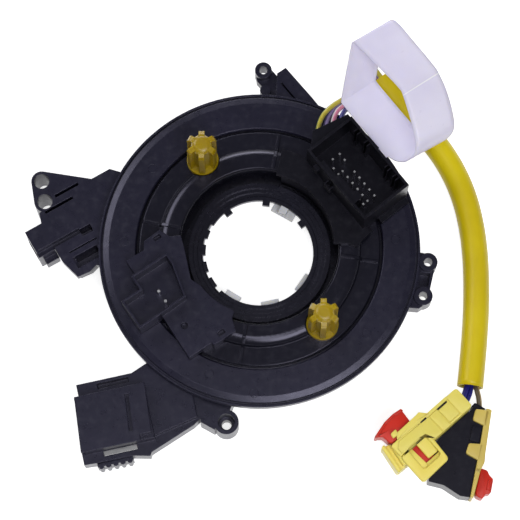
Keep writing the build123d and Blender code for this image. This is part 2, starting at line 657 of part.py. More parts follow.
def peg_cap(centre):
    """Cap with a round skirt, a domed core and six fins, bored to sit on its post."""
    skirt_top = COVER_TOP + PEG_BASE_HEIGHT
    dome_foot = PEG_TOP - PEG_DOME_HEIGHT
    with BuildSketch(Plane(origin=(*centre, 0), x_dir=(1, 0, 0), z_dir=(0, -1, 0))) as section:
        with BuildLine():
            Line((PEG_CORE_RADIUS, dome_foot), (PEG_CORE_RADIUS, skirt_top + 1.0))
            Line((PEG_CORE_RADIUS, skirt_top + 1.0), (PEG_BASE_RADIUS - 0.9, skirt_top))
            Line((PEG_BASE_RADIUS - 0.9, skirt_top), (PEG_BASE_RADIUS, skirt_top - 0.9))
            Line((PEG_BASE_RADIUS, skirt_top - 0.9), (PEG_BASE_RADIUS, COVER_TOP))
            Line((PEG_BASE_RADIUS, COVER_TOP), (0, COVER_TOP))
            Line((0, COVER_TOP), (0, PEG_TOP))
            Line((0, PEG_TOP), (PEG_TIP_RADIUS, PEG_TOP))
            middle = ((PEG_CORE_RADIUS + PEG_TIP_RADIUS) * 0.62, dome_foot + PEG_DOME_HEIGHT * 0.62)
            ThreePointArc((PEG_TIP_RADIUS, PEG_TOP), middle, (PEG_CORE_RADIUS, dome_foot))
        make_face()
    revolve(section.sketch, axis=Axis((*centre, 0), (0, 0, 1)))
    for fin in range(PEG_FINS):
        heading = radians(PEG_FIN_ANGLE + fin * 360 / PEG_FINS)
        upright = Plane(
            origin=(*centre, 0),
            x_dir=(cos(heading), sin(heading), 0),
            z_dir=(sin(heading), -cos(heading), 0),
        )
        with BuildSketch(upright) as fin_outline:
            with BuildLine():
                Polyline(
                    (PEG_TIP_RADIUS, skirt_top - 0.5),
                    (PEG_FIN_REACH, skirt_top - 0.5),
                    (PEG_FIN_REACH, PEG_FIN_TOP - PEG_FIN_ROUNDING),
                    (PEG_FIN_REACH - 0.3 * PEG_FIN_ROUNDING, PEG_FIN_TOP - 0.3 * PEG_FIN_ROUNDING),
                    (PEG_FIN_REACH - PEG_FIN_ROUNDING, PEG_FIN_TOP),
                    (PEG_TIP_RADIUS, PEG_FIN_TOP),
                    close=True,
                )
            make_face()
        extrude(fin_outline.sketch, amount=PEG_FIN_WIDTH / 2, both=True)
    column(AXIS, centre, POST_RADIUS + FIT_GAP, (COVER_TOP, POST_TOP + FIT_GAP), Mode.SUBTRACT)


with BuildPart() as upper_peg_cap:
    peg_cap(PEG_PLACES[0])
upper_peg_cap.part.label = "upper_peg_cap"
export_step(upper_peg_cap.part, "parts/upper_peg_cap.step")

with BuildPart() as lower_peg_cap:
    peg_cap(PEG_PLACES[1])
lower_peg_cap.part.label = "lower_peg_cap"
export_step(lower_peg_cap.part, "parts/lower_peg_cap.step")

# Switch connector: open-topped shroud, wire exit block, foot and carrier in one moulding

SWITCH_X = (-SWITCH_LENGTH / 2, SWITCH_LENGTH / 2)
SWITCH_Y = (-SWITCH_WIDTH / 2, SWITCH_WIDTH / 2)
EXIT_BLOCK = (
    (SWITCH_X[0] + 1.0, SWITCH_Y[0] + 0.4),
    (-19.1, -3.2),
    (-16.4, SWITCH_Y[1]),
    (SWITCH_X[0] + 1.0, SWITCH_Y[1]),
)
KEY_STEPS = (((-9.1, -2.3), 2.4), ((-2.3, 5.2), 3.5), ((5.2, 8.2), 4.6))
KEY_TOP = SWITCH_RIM - 1.5
FAR_RIBS = (-9.6, -4.6, 5.9, 9.9)
FAR_RIB_SPACING = 1.4
FAR_RIB_WIDTH = 0.4
FAR_RIB_REACH = 1.5
CLIP_BRACKET = ((-3.7, -0.7), (-11.0, -8.8), (26.0, 30.5))
CLIP_HOLE = ((-3.2, -1.2), (-10.5, -9.2), (27.0, 30.5))
CLIP_BLOCK = ((-9.9, -7.7), (-10.6, -8.8), (28.0, 32.5))
CARRIER_ANGLES = (1.0, 77.0)
CARRIER_WALL_ANGLES = (6.0, 73.0)
CARRIER_END = ((10.0, -9.0), (17.0, -7.1), (18.0, -15.0), (12.3, -17.4), (6.0, -14.0))
CARRIER_THICKNESS = 1.5
CARRIER_WALL_FOOT = 12.8
FOOT_X = (SWITCH_X[1] - 1.0, 16.8)
FOOT_Y = (-2.9, 8.5)
FOOT_TOP = 21.6


def ring_sector(inner, outer, angles, z):
    """Part of a flat ring between two radii and two angles."""
    with BuildSketch(Plane.XY.offset(z[0])) as section:
        with BuildLine():
            start, end = angles
            CenterArc((0, 0), outer, start, end - start)
            CenterArc((0, 0), inner, start, end - start)
            for angle in angles:
                Line(
                    (inner * cos(radians(angle)), inner * sin(radians(angle))),
                    (outer * cos(radians(angle)), outer * sin(radians(angle))),
                )
        make_face()
    extrude(section.sketch, amount=z[1] - z[0])


def clear_rotor():
    """Take away what would stand in the rotor's shoulder and ribs, or on the cover's running ring."""
    column(AXIS, (0, 0), SHOULDER_RADIUS + FIT_GAP, (COVER_TOP, HUB_TOP), Mode.SUBTRACT)
    for angle in RIB_ANGLES:
        groove = RIB_WIDTH / 2 + FIT_GAP
        over_rib = (COVER_TOP, HUB_TOP + RIB_HEIGHT + FIT_GAP)
        block((angle, angle, 0), (HUB_RADIUS, RIM_RADIUS), (-groove, groove), over_rib, Mode.SUBTRACT)
    with BuildSketch(Plane.XY.offset(COVER_TOP)) as section:
        Circle(COVER_RADIUS + 10)
        Circle(RIM_RADIUS - 0.6, mode=Mode.SUBTRACT)
    extrude(section.sketch, amount=SWITCH_BASE - COVER_TOP, mode=Mode.SUBTRACT)


with BuildPart() as switch_connector:
    block(SWITCH_PLACE, SWITCH_X, SWITCH_Y, (COVER_TOP, SWITCH_RIM))
    prism(SWITCH_PLACE, EXIT_BLOCK, (COVER_TOP, SWITCH_BLOCK_TOP))
    block(SWITCH_PLACE, FOOT_X, FOOT_Y, (COVER_TOP, FOOT_TOP))
    inner_x = (SWITCH_X[0] + SWITCH_WALL, SWITCH_X[1] - SWITCH_WALL)
    inner_y = (SWITCH_Y[0] + SWITCH_WALL, SWITCH_Y[1] - SWITCH_WALL)
    block(SWITCH_PLACE, inner_x, inner_y, (SWITCH_FLOOR, SWITCH_RIM), Mode.SUBTRACT)
    for limits, thickness in KEY_STEPS:
        block(SWITCH_PLACE, limits, (SWITCH_Y[0], SWITCH_Y[0] + thickness), (SWITCH_FLOOR, KEY_TOP))
    for middle in FAR_RIBS:
        for side in (middle - FAR_RIB_SPACING / 2, middle + FAR_RIB_SPACING / 2):
            rib_x = (side - FAR_RIB_WIDTH / 2, side + FAR_RIB_WIDTH / 2)
            rib_y = (inner_y[1] - FAR_RIB_REACH, inner_y[1])
            block(SWITCH_PLACE, rib_x, rib_y, (SWITCH_FLOOR, SWITCH_RIM - 0.6))
    block(SWITCH_PLACE, *CLIP_BRACKET)
    block(SWITCH_PLACE, *CLIP_HOLE, Mode.SUBTRACT)
    block(SWITCH_PLACE, *CLIP_BLOCK)
    clear_rotor()
    carrier_top = HUB_TOP + CARRIER_THICKNESS
    ring_sector(HUB_BORE_RADIUS - 1.5, SHOULDER_RADIUS, CARRIER_ANGLES, (HUB_TOP, carrier_top))
    prism(SWITCH_PLACE, CARRIER_END, (HUB_TOP, carrier_top))
    wall_radii = (SLEEVE_RADIUS + RUNNING_GAP, HUB_BORE_RADIUS - FIT_GAP)
    ring_sector(*wall_radii, CARRIER_WALL_ANGLES, (CARRIER_WALL_FOOT, carrier_top))
switch_connector.part.label = "switch_connector"
export_step(switch_connector.part, "parts/switch_connector.step")

PIN_ROWS = (
    (-0.6, (0, 1, 3, 4, 5, 6, 7)),
    (-3.5, (0, 2, 3, 4, 5, 6, 7)),
    (-5.2, (1, 2, 7)),
)
FIRST_PIN = -8.3
with BuildPart() as switch_pins:
    with BuildSketch(frame(SWITCH_PLACE, SWITCH_FLOOR)):
        for row, numbers in PIN_ROWS:
            for number in numbers:
                with Locations((FIRST_PIN + number * PIN_PITCH, row)):
                    Rectangle(PIN_SIZE, PIN_SIZE)
    extrude(amount=SWITCH_PIN_TOP - SWITCH_FLOOR)
switch_pins.part.label = "switch_pins"
export_step(switch_pins.part, "parts/switch_pins.step")

# Two-way socket on its plate

PLATE = (
    (-16.8, -3.0),
    (-16.5, 3.7),
    (-19.0, 5.4),
    (-19.3, 11.6),
    (-15.6, 13.2),
    (-13.9, 16.3),
    (-9.7, 14.9),
    (0.0, 11.0),
    (12.7, 16.0),
    (16.8, 16.6),
    (18.2, 14.8),
    (22.2, 13.6),
    (22.3, 5.2),
    (21.2, 4.9),
    (21.2, -3.7),
)
SOCKET_BOX = ((-10.6, -4.8), (5.1, -4.8), (4.8, 6.2), (-6.7, 9.0), (-10.6, 9.0))
LATCH_BAY_X = (-5.5, 5.3)
LATCH_BAY_Y = (-11.9, -4.0)
PLATE_WINDOWS = (((-18.3, -16.9), (8.4, 10.8)), ((19.4, 20.9), (8.1, 10.5)))
PLATE_WINDOW_DEPTH = 1.8
PLATE_HOLE = (11.7, 0.8)
PLATE_HOLE_RADIUS = 1.1


with BuildPart() as horn_socket:
    prism(SOCKET_PLACE, PLATE, (COVER_TOP, SOCKET_PLATE_TOP))
    column(AXIS, (0, 0), SLEEVE_RADIUS, (COVER_TOP, SOCKET_RIM), Mode.SUBTRACT)
    prism(SOCKET_PLACE, SOCKET_BOX, (COVER_TOP, SOCKET_RIM))
    block(SOCKET_PLACE, LATCH_BAY_X, LATCH_BAY_Y, (COVER_TOP, SOCKET_RIM))
    with BuildSketch(frame(SOCKET_PLACE, SOCKET_FLOOR)) as socket_hollow:
        with BuildLine():
            Polyline(*SOCKET_BOX, close=True)
        make_face()
        offset(amount=-SOCKET_WALL, kind=Kind.INTERSECTION, mode=Mode.REPLACE)
    extrude(socket_hollow.sketch, amount=SOCKET_RIM - SOCKET_FLOOR, mode=Mode.SUBTRACT)
    bay_x = (LATCH_BAY_X[0] + SOCKET_WALL, LATCH_BAY_X[1] - SOCKET_WALL)
    block(SOCKET_PLACE, bay_x, (LATCH_BAY_Y[0] + SOCKET_WALL, 0.0), (SOCKET_FLOOR, SOCKET_RIM), Mode.SUBTRACT)
    plate_window = (SOCKET_PLATE_TOP - PLATE_WINDOW_DEPTH, SOCKET_PLATE_TOP)
    for window in PLATE_WINDOWS:
        block(SOCKET_PLACE, *window, plate_window, Mode.SUBTRACT)
    column(SOCKET_PLACE, PLATE_HOLE, PLATE_HOLE_RADIUS, plate_window, Mode.SUBTRACT)
    clear_rotor()
horn_socket.part.label = "horn_socket"
export_step(horn_socket.part, "parts/horn_socket.step")

with BuildPart() as horn_pins:
    with BuildSketch(frame(SOCKET_PLACE, SOCKET_FLOOR)):
        with GridLocations(SOCKET_PIN_SPACING, 1, 2, 1):
            Circle(0.5)
    extrude(amount=SOCKET_PIN_TOP - SOCKET_FLOOR)
horn_pins.part.label = "horn_pins"
export_step(horn_pins.part, "parts/horn_pins.step")

# Transit strap: a closed band of film, cut on the slant, with two tabs on the switch connector

STRAP_LOOP = ((-24.8, 25.0), (7.5, 24.8), (10.2, 31.0), (-7.0, 39.6), (-34.0, 38.2))
STRAP_RADII = (1.5, 4.2, 4.1, 45.0, 1.5)
STRAP_NEAR = 9.5
STRAP_NEAR_HEIGHT = 23.0
STRAP_REACH = 50.0
STRAP_TABS = ((-15.5, -12.5), (-2.0, 1.0))
TAB_Z = (24.9, 25.4)
TAB_END = 12.6


def in_frame(plane, x, y, z):
    """Point and directions of a plane turned into the part's own coordinates."""
    return plane.origin + plane.x_dir * x + plane.y_dir * y + plane.z_dir * z


with BuildPart() as transit_strap:
    base = frame(SWITCH_PLACE)
    along = base.y_dir * cos(radians(STRAP_TILT)) - base.z_dir * sin(radians(STRAP_TILT))
    start = in_frame(base, 0, STRAP_NEAR, 0)
    with BuildSketch(Plane(origin=start, x_dir=base.x_dir, z_dir=-along)):
        with BuildLine():
            FilletPolyline(*STRAP_LOOP, radius=STRAP_RADII, close=True)
        make_face()
        offset(amount=-STRAP_THICKNESS, mode=Mode.SUBTRACT)
    extrude(amount=-STRAP_REACH)
    slant = (base.y_dir - base.z_dir).normalized()
    near_point = in_frame(base, 0, STRAP_NEAR, STRAP_NEAR_HEIGHT)
    split(bisect_by=Plane(origin=near_point, z_dir=slant), keep=Keep.TOP)
    split(bisect_by=Plane(origin=near_point + along * STRAP_WIDTH, z_dir=slant), keep=Keep.BOTTOM)
    for limits in STRAP_TABS:
        block(SWITCH_PLACE, limits, (SWITCH_Y[1], TAB_END), TAB_Z)
transit_strap.part.label = "transit_strap"
export_step(transit_strap.part, "parts/transit_strap.step")

# Airbag lead: the sleeve on the table and the wires at both of its ends

SLEEVE_ROUTE = (
    (41.0, 61.8, 4.3),
    (50.2, 49.2, 4.3),
    (60.8, 37.6, 4.3),
    (68.2, 23.0, 4.3),
    (71.6, 6.0, 4.3),
    (71.9, -13.0, 4.3),
    (70.6, -30.5, 4.3),
    (69.0, -43.4, 4.3),
)
WIRE_ROUTES = {
    "green_wire": (
        (18.77, 35.58, 26.6),
        (19.37, 41.2, 26.3),
        (21.8, 46.2, 25.0),
        (24.6, 50.8, 21.2),
        (25.8, 57.2, 15.8),
        (29.8, 63.9, 10.9),
        (33.6, 66.5, 8.6),
        (38.17, 65.68, 7.15),
        (41.0, 61.8, 7.15),
    ),
    "violet_wire": (
        (21.25, 36.8, 25.4),
        (21.85, 42.4, 24.8),
        (24.2, 47.2, 22.6),
        (27.0, 51.4, 18.0),
        (27.2, 57.9, 13.0),
        (29.8, 63.9, 8.6),
        (33.6, 66.5, 6.5),
        (38.17, 65.68, 5.2),
        (41.0, 61.8, 5.2),
    ),
    "white_wire": (
        (23.72, 38.04, 26.6),
        (24.32, 43.6, 25.6),
        (26.8, 48.1, 21.2),
        (29.3, 52.3, 15.2),
        (28.5, 58.6, 10.2),
        (29.8, 63.9, 6.3),
        (33.6, 66.5, 4.4),
        (38.17, 65.68, 3.25),
        (41.0, 61.8, 3.25),
    ),
    "blue_wire": (
        (26.21, 39.24, 25.4),
        (26.8, 44.6, 23.9),
        (29.8, 48.5, 18.2),
        (31.8, 52.6, 12.0),
        (29.9, 58.8, 7.6),
        (30.0, 63.4, 4.4),
        (33.4, 66.4, 2.3),
        (38.17, 65.68, 1.3),
        (41.0, 61.8, 1.3),
    ),
}
PLUG_WIRE_ROUTES = {
    "plug_wire_left": ((67.9, -42.8, 5.2), (65.9, -48.6, 7.0)),
    "plug_wire_right": ((69.3, -42.8, 3.6), (67.6, -49.8, 5.0)),
    "tan_wire": ((70.7, -42.8, 4.6), (71.7, -51.2, 5.0)),
}


def bend_radii(route):
    """Radius at each point between two runs: 0.45 of the shorter run over the tangent of half the turn."""
    points = [Vector(*point) for point in route]
    runs = [end - start for start, end in zip(points, points[1:])]
    return [
        0.45 * min(before.length, after.length) / tan(radians(before.get_angle(after) / 2))
        for before, after in zip(runs, runs[1:])
    ]


def tube(route, diameter, name):
    """Round cord along straight runs joined by tangent arcs."""
    radii = bend_radii(route)
    with BuildLine() as path:
        if radii:
            FilletPolyline(*route, radius=radii)
        else:
            Line(*route)
    centreline = path.wires()[0]
    with BuildSketch(Plane(origin=centreline @ 0, z_dir=centreline % 0)) as section:
        Circle(diameter / 2)
    sweep(section.sketch, path=centreline)
    expected = pi * diameter**2 / 4 * centreline.length
    print(name, "length", round(centreline.length, 2), "volume should be", round(expected, 1))
    print(name, "radii", [round(radius, 1) for radius in radii])


with BuildPart() as lead_sleeve:
    tube(SLEEVE_ROUTE, SLEEVE_DIAMETER, "lead_sleeve")
lead_sleeve.part.label = "lead_sleeve"
export_step(lead_sleeve.part, "parts/lead_sleeve.step")

for wire_name, wire_route in {**WIRE_ROUTES, **PLUG_WIRE_ROUTES}.items():
    with BuildPart() as wire:
        tube(wire_route, WIRE_DIAMETER, wire_name)
    wire.part.label = wire_name
    export_step(wire.part, f"parts/{wire_name}.step")
    print(wire_name, "volume", round(wire.part.volume, 1))
print("lead_sleeve volume", round(lead_sleeve.part.volume, 1))

# Pale yellow plug with its latch frame, and its red lock

PLUG_X = (0.0, 28.5)
PLUG_Y = (-4.0, 4.0)
LATCH_FRAME = ((17.1, 3.5), (17.9, 12.1), (28.6, 12.1), (28.6, 3.5))
FRAME_FOOT = 11.0
WINDOW_X = (18.9, 26.8)
WINDOW_Y = (4.8, 10.4)
TONGUE_X = (19.9, 24.6)
TONGUE_END = 9.0
LOCK_SLOT_X = (19.7, 27.3)
LOCK_SLOT_Z = (9.3, 11.0)
LOCK_OUTLINE = ((18.6, -4.3), (17.9, -10.5), (30.4, -9.4), (29.6, -6.4), (27.6, -6.4), (27.6, -4.3))
LOCK_Z = (4.0, 11.5)
LOCK_TONGUE_END = 8.6
with BuildPart() as airbag_plug:
    block(PLUG_PLACE, PLUG_X, PLUG_Y, (0, PLUG_TOP))
    prism(PLUG_PLACE, LATCH_FRAME, (FRAME_FOOT, PLUG_TOP))
    block(PLUG_PLACE, WINDOW_X, WINDOW_Y, (FRAME_FOOT, PLUG_TOP), Mode.SUBTRACT)
    block(PLUG_PLACE, TONGUE_X, (WINDOW_Y[0] - 0.5, TONGUE_END), (FRAME_FOOT, PLUG_TOP - 0.3))
    block(PLUG_PLACE, (28.0, 32.0), (-6.0, 3.8), (0, 10.0))
    block(PLUG_PLACE, (29.8, 31.0), (-6.0, 3.8), (8.6, 10.0), Mode.SUBTRACT)
    block(PLUG_PLACE, LOCK_SLOT_X, (PLUG_Y[0], WINDOW_Y[0]), LOCK_SLOT_Z, Mode.SUBTRACT)
    block(PLUG_PLACE, (5.1, 9.3), (-3.3, -2.7), (PLUG_TOP - 2, PLUG_TOP), Mode.SUBTRACT)
    block(PLUG_PLACE, (13.9, 16.0), (-3.5, -3.0), (PLUG_TOP - 2, PLUG_TOP), Mode.SUBTRACT)
airbag_plug.part.label = "airbag_plug"
export_step(airbag_plug.part, "parts/airbag_plug.step")

with BuildPart() as airbag_plug_lock:
    prism(PLUG_PLACE, LOCK_OUTLINE, LOCK_Z)
    tongue_x = (LOCK_SLOT_X[0] + FIT_GAP, LOCK_SLOT_X[1] - FIT_GAP)
    tongue_z = (LOCK_SLOT_Z[0] + FIT_GAP, LOCK_SLOT_Z[1] - FIT_GAP)
    block(PLUG_PLACE, tongue_x, (PLUG_Y[0] - 1.0, LOCK_TONGUE_END), tongue_z)
airbag_plug_lock.part.label = "airbag_plug_lock"
export_step(airbag_plug_lock.part, "parts/airbag_plug_lock.step")

# Black plug beside it, its tan cover and its red lock

BLACK_SIDE = ((0.6, 2.2), (18.0, 3.2), (30.0, 3.6))
BLACK_OUTLINE = (
    (-0.5, -1.6),
    *BLACK_SIDE,
    (30.3, 0.5),
    (28.2, -5.4),
    (28.2, -10.4),
    (22.0, -11.4),
    (15.8, -11.4),
)
TAN_SPINE = (*BLACK_SIDE, (30.3, 4.6), (18.0, 4.6), (0.6, 4.2))
TAN_TOP = 10.5
TAN_LUGS = (((1.5, 7.0), (-1.5, 2.7)), ((12.5, 18.0), (-1.6, 3.4)))
BLACK_SLOT_X = (21.7, 27.3)
BLACK_SLOT_Z = (2.7, 5.3)
BLACK_SLOT_END = -3.0
BLACK_LOCK_OUTLINE = ((20.2, 5.0), (22.5, 9.8), (28.0, 9.7), (29.8, 7.6), (29.0, 5.0))
BLACK_LOCK_Z = (1.0, 8.0)
with BuildPart() as black_plug:
    prism(BLACK_PLUG_PLACE, BLACK_OUTLINE, (0, BLACK_PLUG_TOP))
    block(BLACK_PLUG_PLACE, (7.3, 12.2), (-0.6, 2.4), (BLACK_PLUG_TOP - 1.0, TAN_TOP))
    block(BLACK_PLUG_PLACE, BLACK_SLOT_X, (BLACK_SLOT_END, 5.0), BLACK_SLOT_Z, Mode.SUBTRACT)
    beside_plug = (PLUG_Y[0] - FIT_GAP, PLUG_Y[1] + FIT_GAP)
    block(PLUG_PLACE, (PLUG_X[0] - FIT_GAP, 33.0), beside_plug, (0, PLUG_TOP), Mode.SUBTRACT)
black_plug.part.label = "black_plug"
export_step(black_plug.part, "parts/black_plug.step")

with BuildPart() as tan_cover:
    prism(BLACK_PLUG_PLACE, TAN_SPINE, (0, TAN_TOP))
    for x, y in TAN_LUGS:
        block(BLACK_PLUG_PLACE, x, y, (BLACK_PLUG_TOP, TAN_TOP))
    block(BLACK_PLUG_PLACE, BLACK_SLOT_X, (0.0, 6.0), BLACK_SLOT_Z, Mode.SUBTRACT)
tan_cover.part.label = "tan_cover"
export_step(tan_cover.part, "parts/tan_cover.step")

with BuildPart() as black_plug_lock:
    prism(BLACK_PLUG_PLACE, BLACK_LOCK_OUTLINE, BLACK_LOCK_Z)
    tongue_x = (BLACK_SLOT_X[0] + FIT_GAP, BLACK_SLOT_X[1] - FIT_GAP)
    tongue_z = (BLACK_SLOT_Z[0] + FIT_GAP, BLACK_SLOT_Z[1] - FIT_GAP)
    block(BLACK_PLUG_PLACE, tongue_x, (BLACK_SLOT_END + FIT_GAP, 6.0), tongue_z)
black_plug_lock.part.label = "black_plug_lock"
export_step(black_plug_lock.part, "parts/black_plug_lock.step")
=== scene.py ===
import logging
import math
from dataclasses import dataclass, field
from enum import Enum
from typing import ClassVar

import bpy
import numpy as np
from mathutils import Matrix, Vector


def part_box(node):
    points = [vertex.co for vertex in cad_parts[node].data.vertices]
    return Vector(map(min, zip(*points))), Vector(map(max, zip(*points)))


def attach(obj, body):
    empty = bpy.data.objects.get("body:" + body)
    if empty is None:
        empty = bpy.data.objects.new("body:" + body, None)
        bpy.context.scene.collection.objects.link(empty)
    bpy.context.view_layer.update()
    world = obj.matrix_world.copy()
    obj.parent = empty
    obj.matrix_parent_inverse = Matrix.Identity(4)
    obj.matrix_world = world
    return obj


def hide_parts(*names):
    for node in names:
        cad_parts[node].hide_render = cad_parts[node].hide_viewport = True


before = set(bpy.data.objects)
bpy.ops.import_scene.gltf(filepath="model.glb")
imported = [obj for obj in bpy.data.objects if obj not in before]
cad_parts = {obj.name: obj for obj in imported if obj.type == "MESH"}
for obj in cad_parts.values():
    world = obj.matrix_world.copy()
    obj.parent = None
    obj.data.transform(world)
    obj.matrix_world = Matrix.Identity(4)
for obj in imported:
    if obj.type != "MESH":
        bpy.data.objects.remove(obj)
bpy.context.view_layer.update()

log = logging.getLogger("clock_spring")

Point = tuple[float, float, float]
Colour = tuple[float, float, float]
Outline = tuple[tuple[float, float], ...]

COOL_SHEEN: Colour = (0.78, 0.76, 1.0)
MM_PER_M = 1000


class Body(Enum):
    """Bodies of the clock spring that pieces ride on."""

    FIXED = "root"
    ROTOR = "rotor"
    PLUG_LOCK = "plug_lock"
    BLACK_LOCK = "black_lock"


class Ending(Enum):
    """What a tube's two ends look like."""

    OPEN_BORE = "open bore"
    DOMED = "domed"


def linear(red: int, green: int, blue: int) -> Colour:
    """Turn a display colour of 0 to 255 into scene-linear values.

    Args:
        red: Red on the display's scale.
        green: Green on the display's scale.
        blue: Blue on the display's scale.

    Returns:
        The three linear values.
    """
    values = np.array([red, green, blue]) / 255.0
    low = values / 12.92
    high = ((values + 0.055) / 1.055) ** 2.4
    return tuple(float(v) for v in np.where(values <= 0.04045, low, high))


def fill(node: bpy.types.Node, values: dict[str, object]) -> None:
    """Set a node's inputs by name.

    Args:
        node: The node.
        values: Names of its inputs and what they are set to.
    """
    for name, value in values.items():
        node.inputs[name].default_value = value


@dataclass
class Wiring:
    """A material's, world's or group's node tree while it is being wired."""

    tree: bpy.types.NodeTree

    def add(self, kind: str, **properties: object) -> bpy.types.Node:
        """Add a node and set its plain properties.

        Args:
            kind: Blender's node type.
            **properties: Property names and what they are set to.

        Returns:
            The new node.
        """
        node = self.tree.nodes.new(kind)
        for name, value in properties.items():
            setattr(node, name, value)
        return node

    def join(self, source: bpy.types.NodeSocket, target: bpy.types.NodeSocket) -> None:
        """Link one socket to another."""
        self.tree.links.new(source, target)

    def math(self, operation: str, *values: bpy.types.NodeSocket | float) -> bpy.types.NodeSocket:
        """Work out one sum.

        Args:
            operation: Blender's name for it.
            *values: What goes into it in turn, sockets or numbers.

        Returns:
            The result's socket.
        """
        node = self.add("ShaderNodeMath", operation=operation)
        for target, value in zip(node.inputs, values):
            if isinstance(value, float):
                target.default_value = value
            else:
                self.join(value, target)
        return node.outputs["Value"]

    def part(self, vector: bpy.types.NodeSocket, axis: str) -> bpy.types.NodeSocket:
        """Take one axis of a vector.

        Args:
            vector: The vector's socket.
            axis: X, Y or Z.

        Returns:
            The axis's socket.
        """
        node = self.add("ShaderNodeSeparateXYZ")
        self.join(vector, node.inputs["Vector"])
        return node.outputs[axis]

    def noise(
        self, vector: bpy.types.NodeSocket, scale: float, detail: float, roughness: float
    ) -> bpy.types.NodeSocket:
        """Add a noise texture of the given fineness on a vector.

        Args:
            vector: Where the pattern reads its place from.
            scale: Waves per metre.
            detail: Octaves.
            roughness: How much the fine octaves count.

        Returns:
            The pattern's socket.
        """
        node = self.add("ShaderNodeTexNoise")
        fill(node, {"Scale": scale, "Detail": detail, "Roughness": roughness})
        self.join(vector, node.inputs["Vector"])
        return node.outputs["Fac"]

    def ramp(
        self, value: bpy.types.NodeSocket, low: float, high: float, start: float = 0.0, end: float = 1.0
    ) -> bpy.types.NodeSocket:
        """Map a value from one range to another, clamped.

        Args:
            value: The value to map.
            low: Where the source range starts.
            high: Where the source range ends.
            start: Result at the source's start.
            end: Result at the source's end.

        Returns:
            The mapped value's socket.
        """
        node = self.add("ShaderNodeMapRange")
        fill(node, {"From Min": low, "From Max": high, "To Min": start, "To Max": end})
        self.join(value, node.inputs["Value"])
        return node.outputs["Result"]

    def mix(
        self,
        factor: bpy.types.NodeSocket,
        first: bpy.types.NodeSocket | Colour,
        second: bpy.types.NodeSocket | Colour,
    ) -> bpy.types.NodeSocket:
        """Mix two colours by a mask.

        Args:
            factor: Mask, 0 for the first and 1 for the second.
            first: A colour or a socket that gives one.
            second: A colour or a socket that gives one.

        Returns:
            The mixed colour's socket.
        """
        node = self.add("ShaderNodeMix", data_type="RGBA")
        self.join(factor, node.inputs["Factor"])
        for name, source in (("A", first), ("B", second)):
            socket = [s for s in node.inputs if s.name == name and s.type == "RGBA"][0]
            if isinstance(source, tuple):
                socket.default_value = (*source, 1.0)
            else:
                self.join(source, socket)
        return [s for s in node.outputs if s.type == "RGBA"][0]


@dataclass(frozen=True)
class MouldedSkin:
    """Node group for an injection-moulded skin.

    Colour drifts slowly between two tones, settled dust lightens faces that look up, and the height is
    a fine spark-eroded grain with broad sink waves under it. Scales are waves per metre.
    """

    takes: ClassVar[dict[str, str]] = {
        "Vector": "Vector",
        "Tone": "Color",
        "Worn Tone": "Color",
        "Dust": "Float",
        "Polish": "Float",
        "Spread": "Float",
    }
    gives: ClassVar[dict[str, str]] = {"Colour": "Color", "Roughness": "Float", "Height": "Float"}

    name: str = "moulded skin"
    drift_scale: float = 45.0
    cloud_scale: float = 420.0
    grain_scale: float = 5200.0
    wave_height: float = 6.0
    dust_tone: Colour = (0.34, 0.34, 0.38)

    def sockets(self, face: bpy.types.NodeTreeInterface) -> None:
        """Name the group's inputs and outputs.

        Args:
            face: The group's interface.
        """
        for way, kinds in (("INPUT", self.takes), ("OUTPUT", self.gives)):
            for label, kind in kinds.items():
                face.new_socket(label, in_out=way, socket_type="NodeSocket" + kind)

    def build(self) -> bpy.types.NodeTree:
        """Make the group once and give it back.

        Returns:
            The node group with its named sockets.
        """
        group = bpy.data.node_groups.get(self.name)
        if group:
            return group
        group = bpy.data.node_groups.new(self.name, "ShaderNodeTree")
        self.sockets(group.interface)
        work = Wiring(group)
        source = work.add("NodeGroupInput").outputs
        result = work.add("NodeGroupOutput").inputs
        drift = work.noise(source["Vector"], self.drift_scale, 3.0, 0.5)
        cloud = work.noise(source["Vector"], self.cloud_scale, 4.0, 0.6)
        grain = work.noise(source["Vector"], self.grain_scale, 2.0, 0.7)
        toned = work.mix(work.ramp(drift, 0.35, 0.7), source["Tone"], source["Worn Tone"])
        normal = work.add("ShaderNodeNewGeometry")
        upward = work.ramp(work.part(normal.outputs["Normal"], "Z"), 0.5, 1.0)
        settled = work.math("MULTIPLY", upward, work.ramp(cloud, 0.52, 0.78))
        dusty = work.math("MULTIPLY", settled, source["Dust"])
        patch = work.math("SUBTRACT", cloud, 0.5)
        work.join(work.mix(dusty, toned, self.dust_tone), result["Colour"])
        work.join(work.math("MULTIPLY_ADD", patch, source["Spread"], source["Polish"]), result["Roughness"])
        work.join(work.math("MULTIPLY_ADD", drift, self.wave_height, grain), result["Height"])
        return group


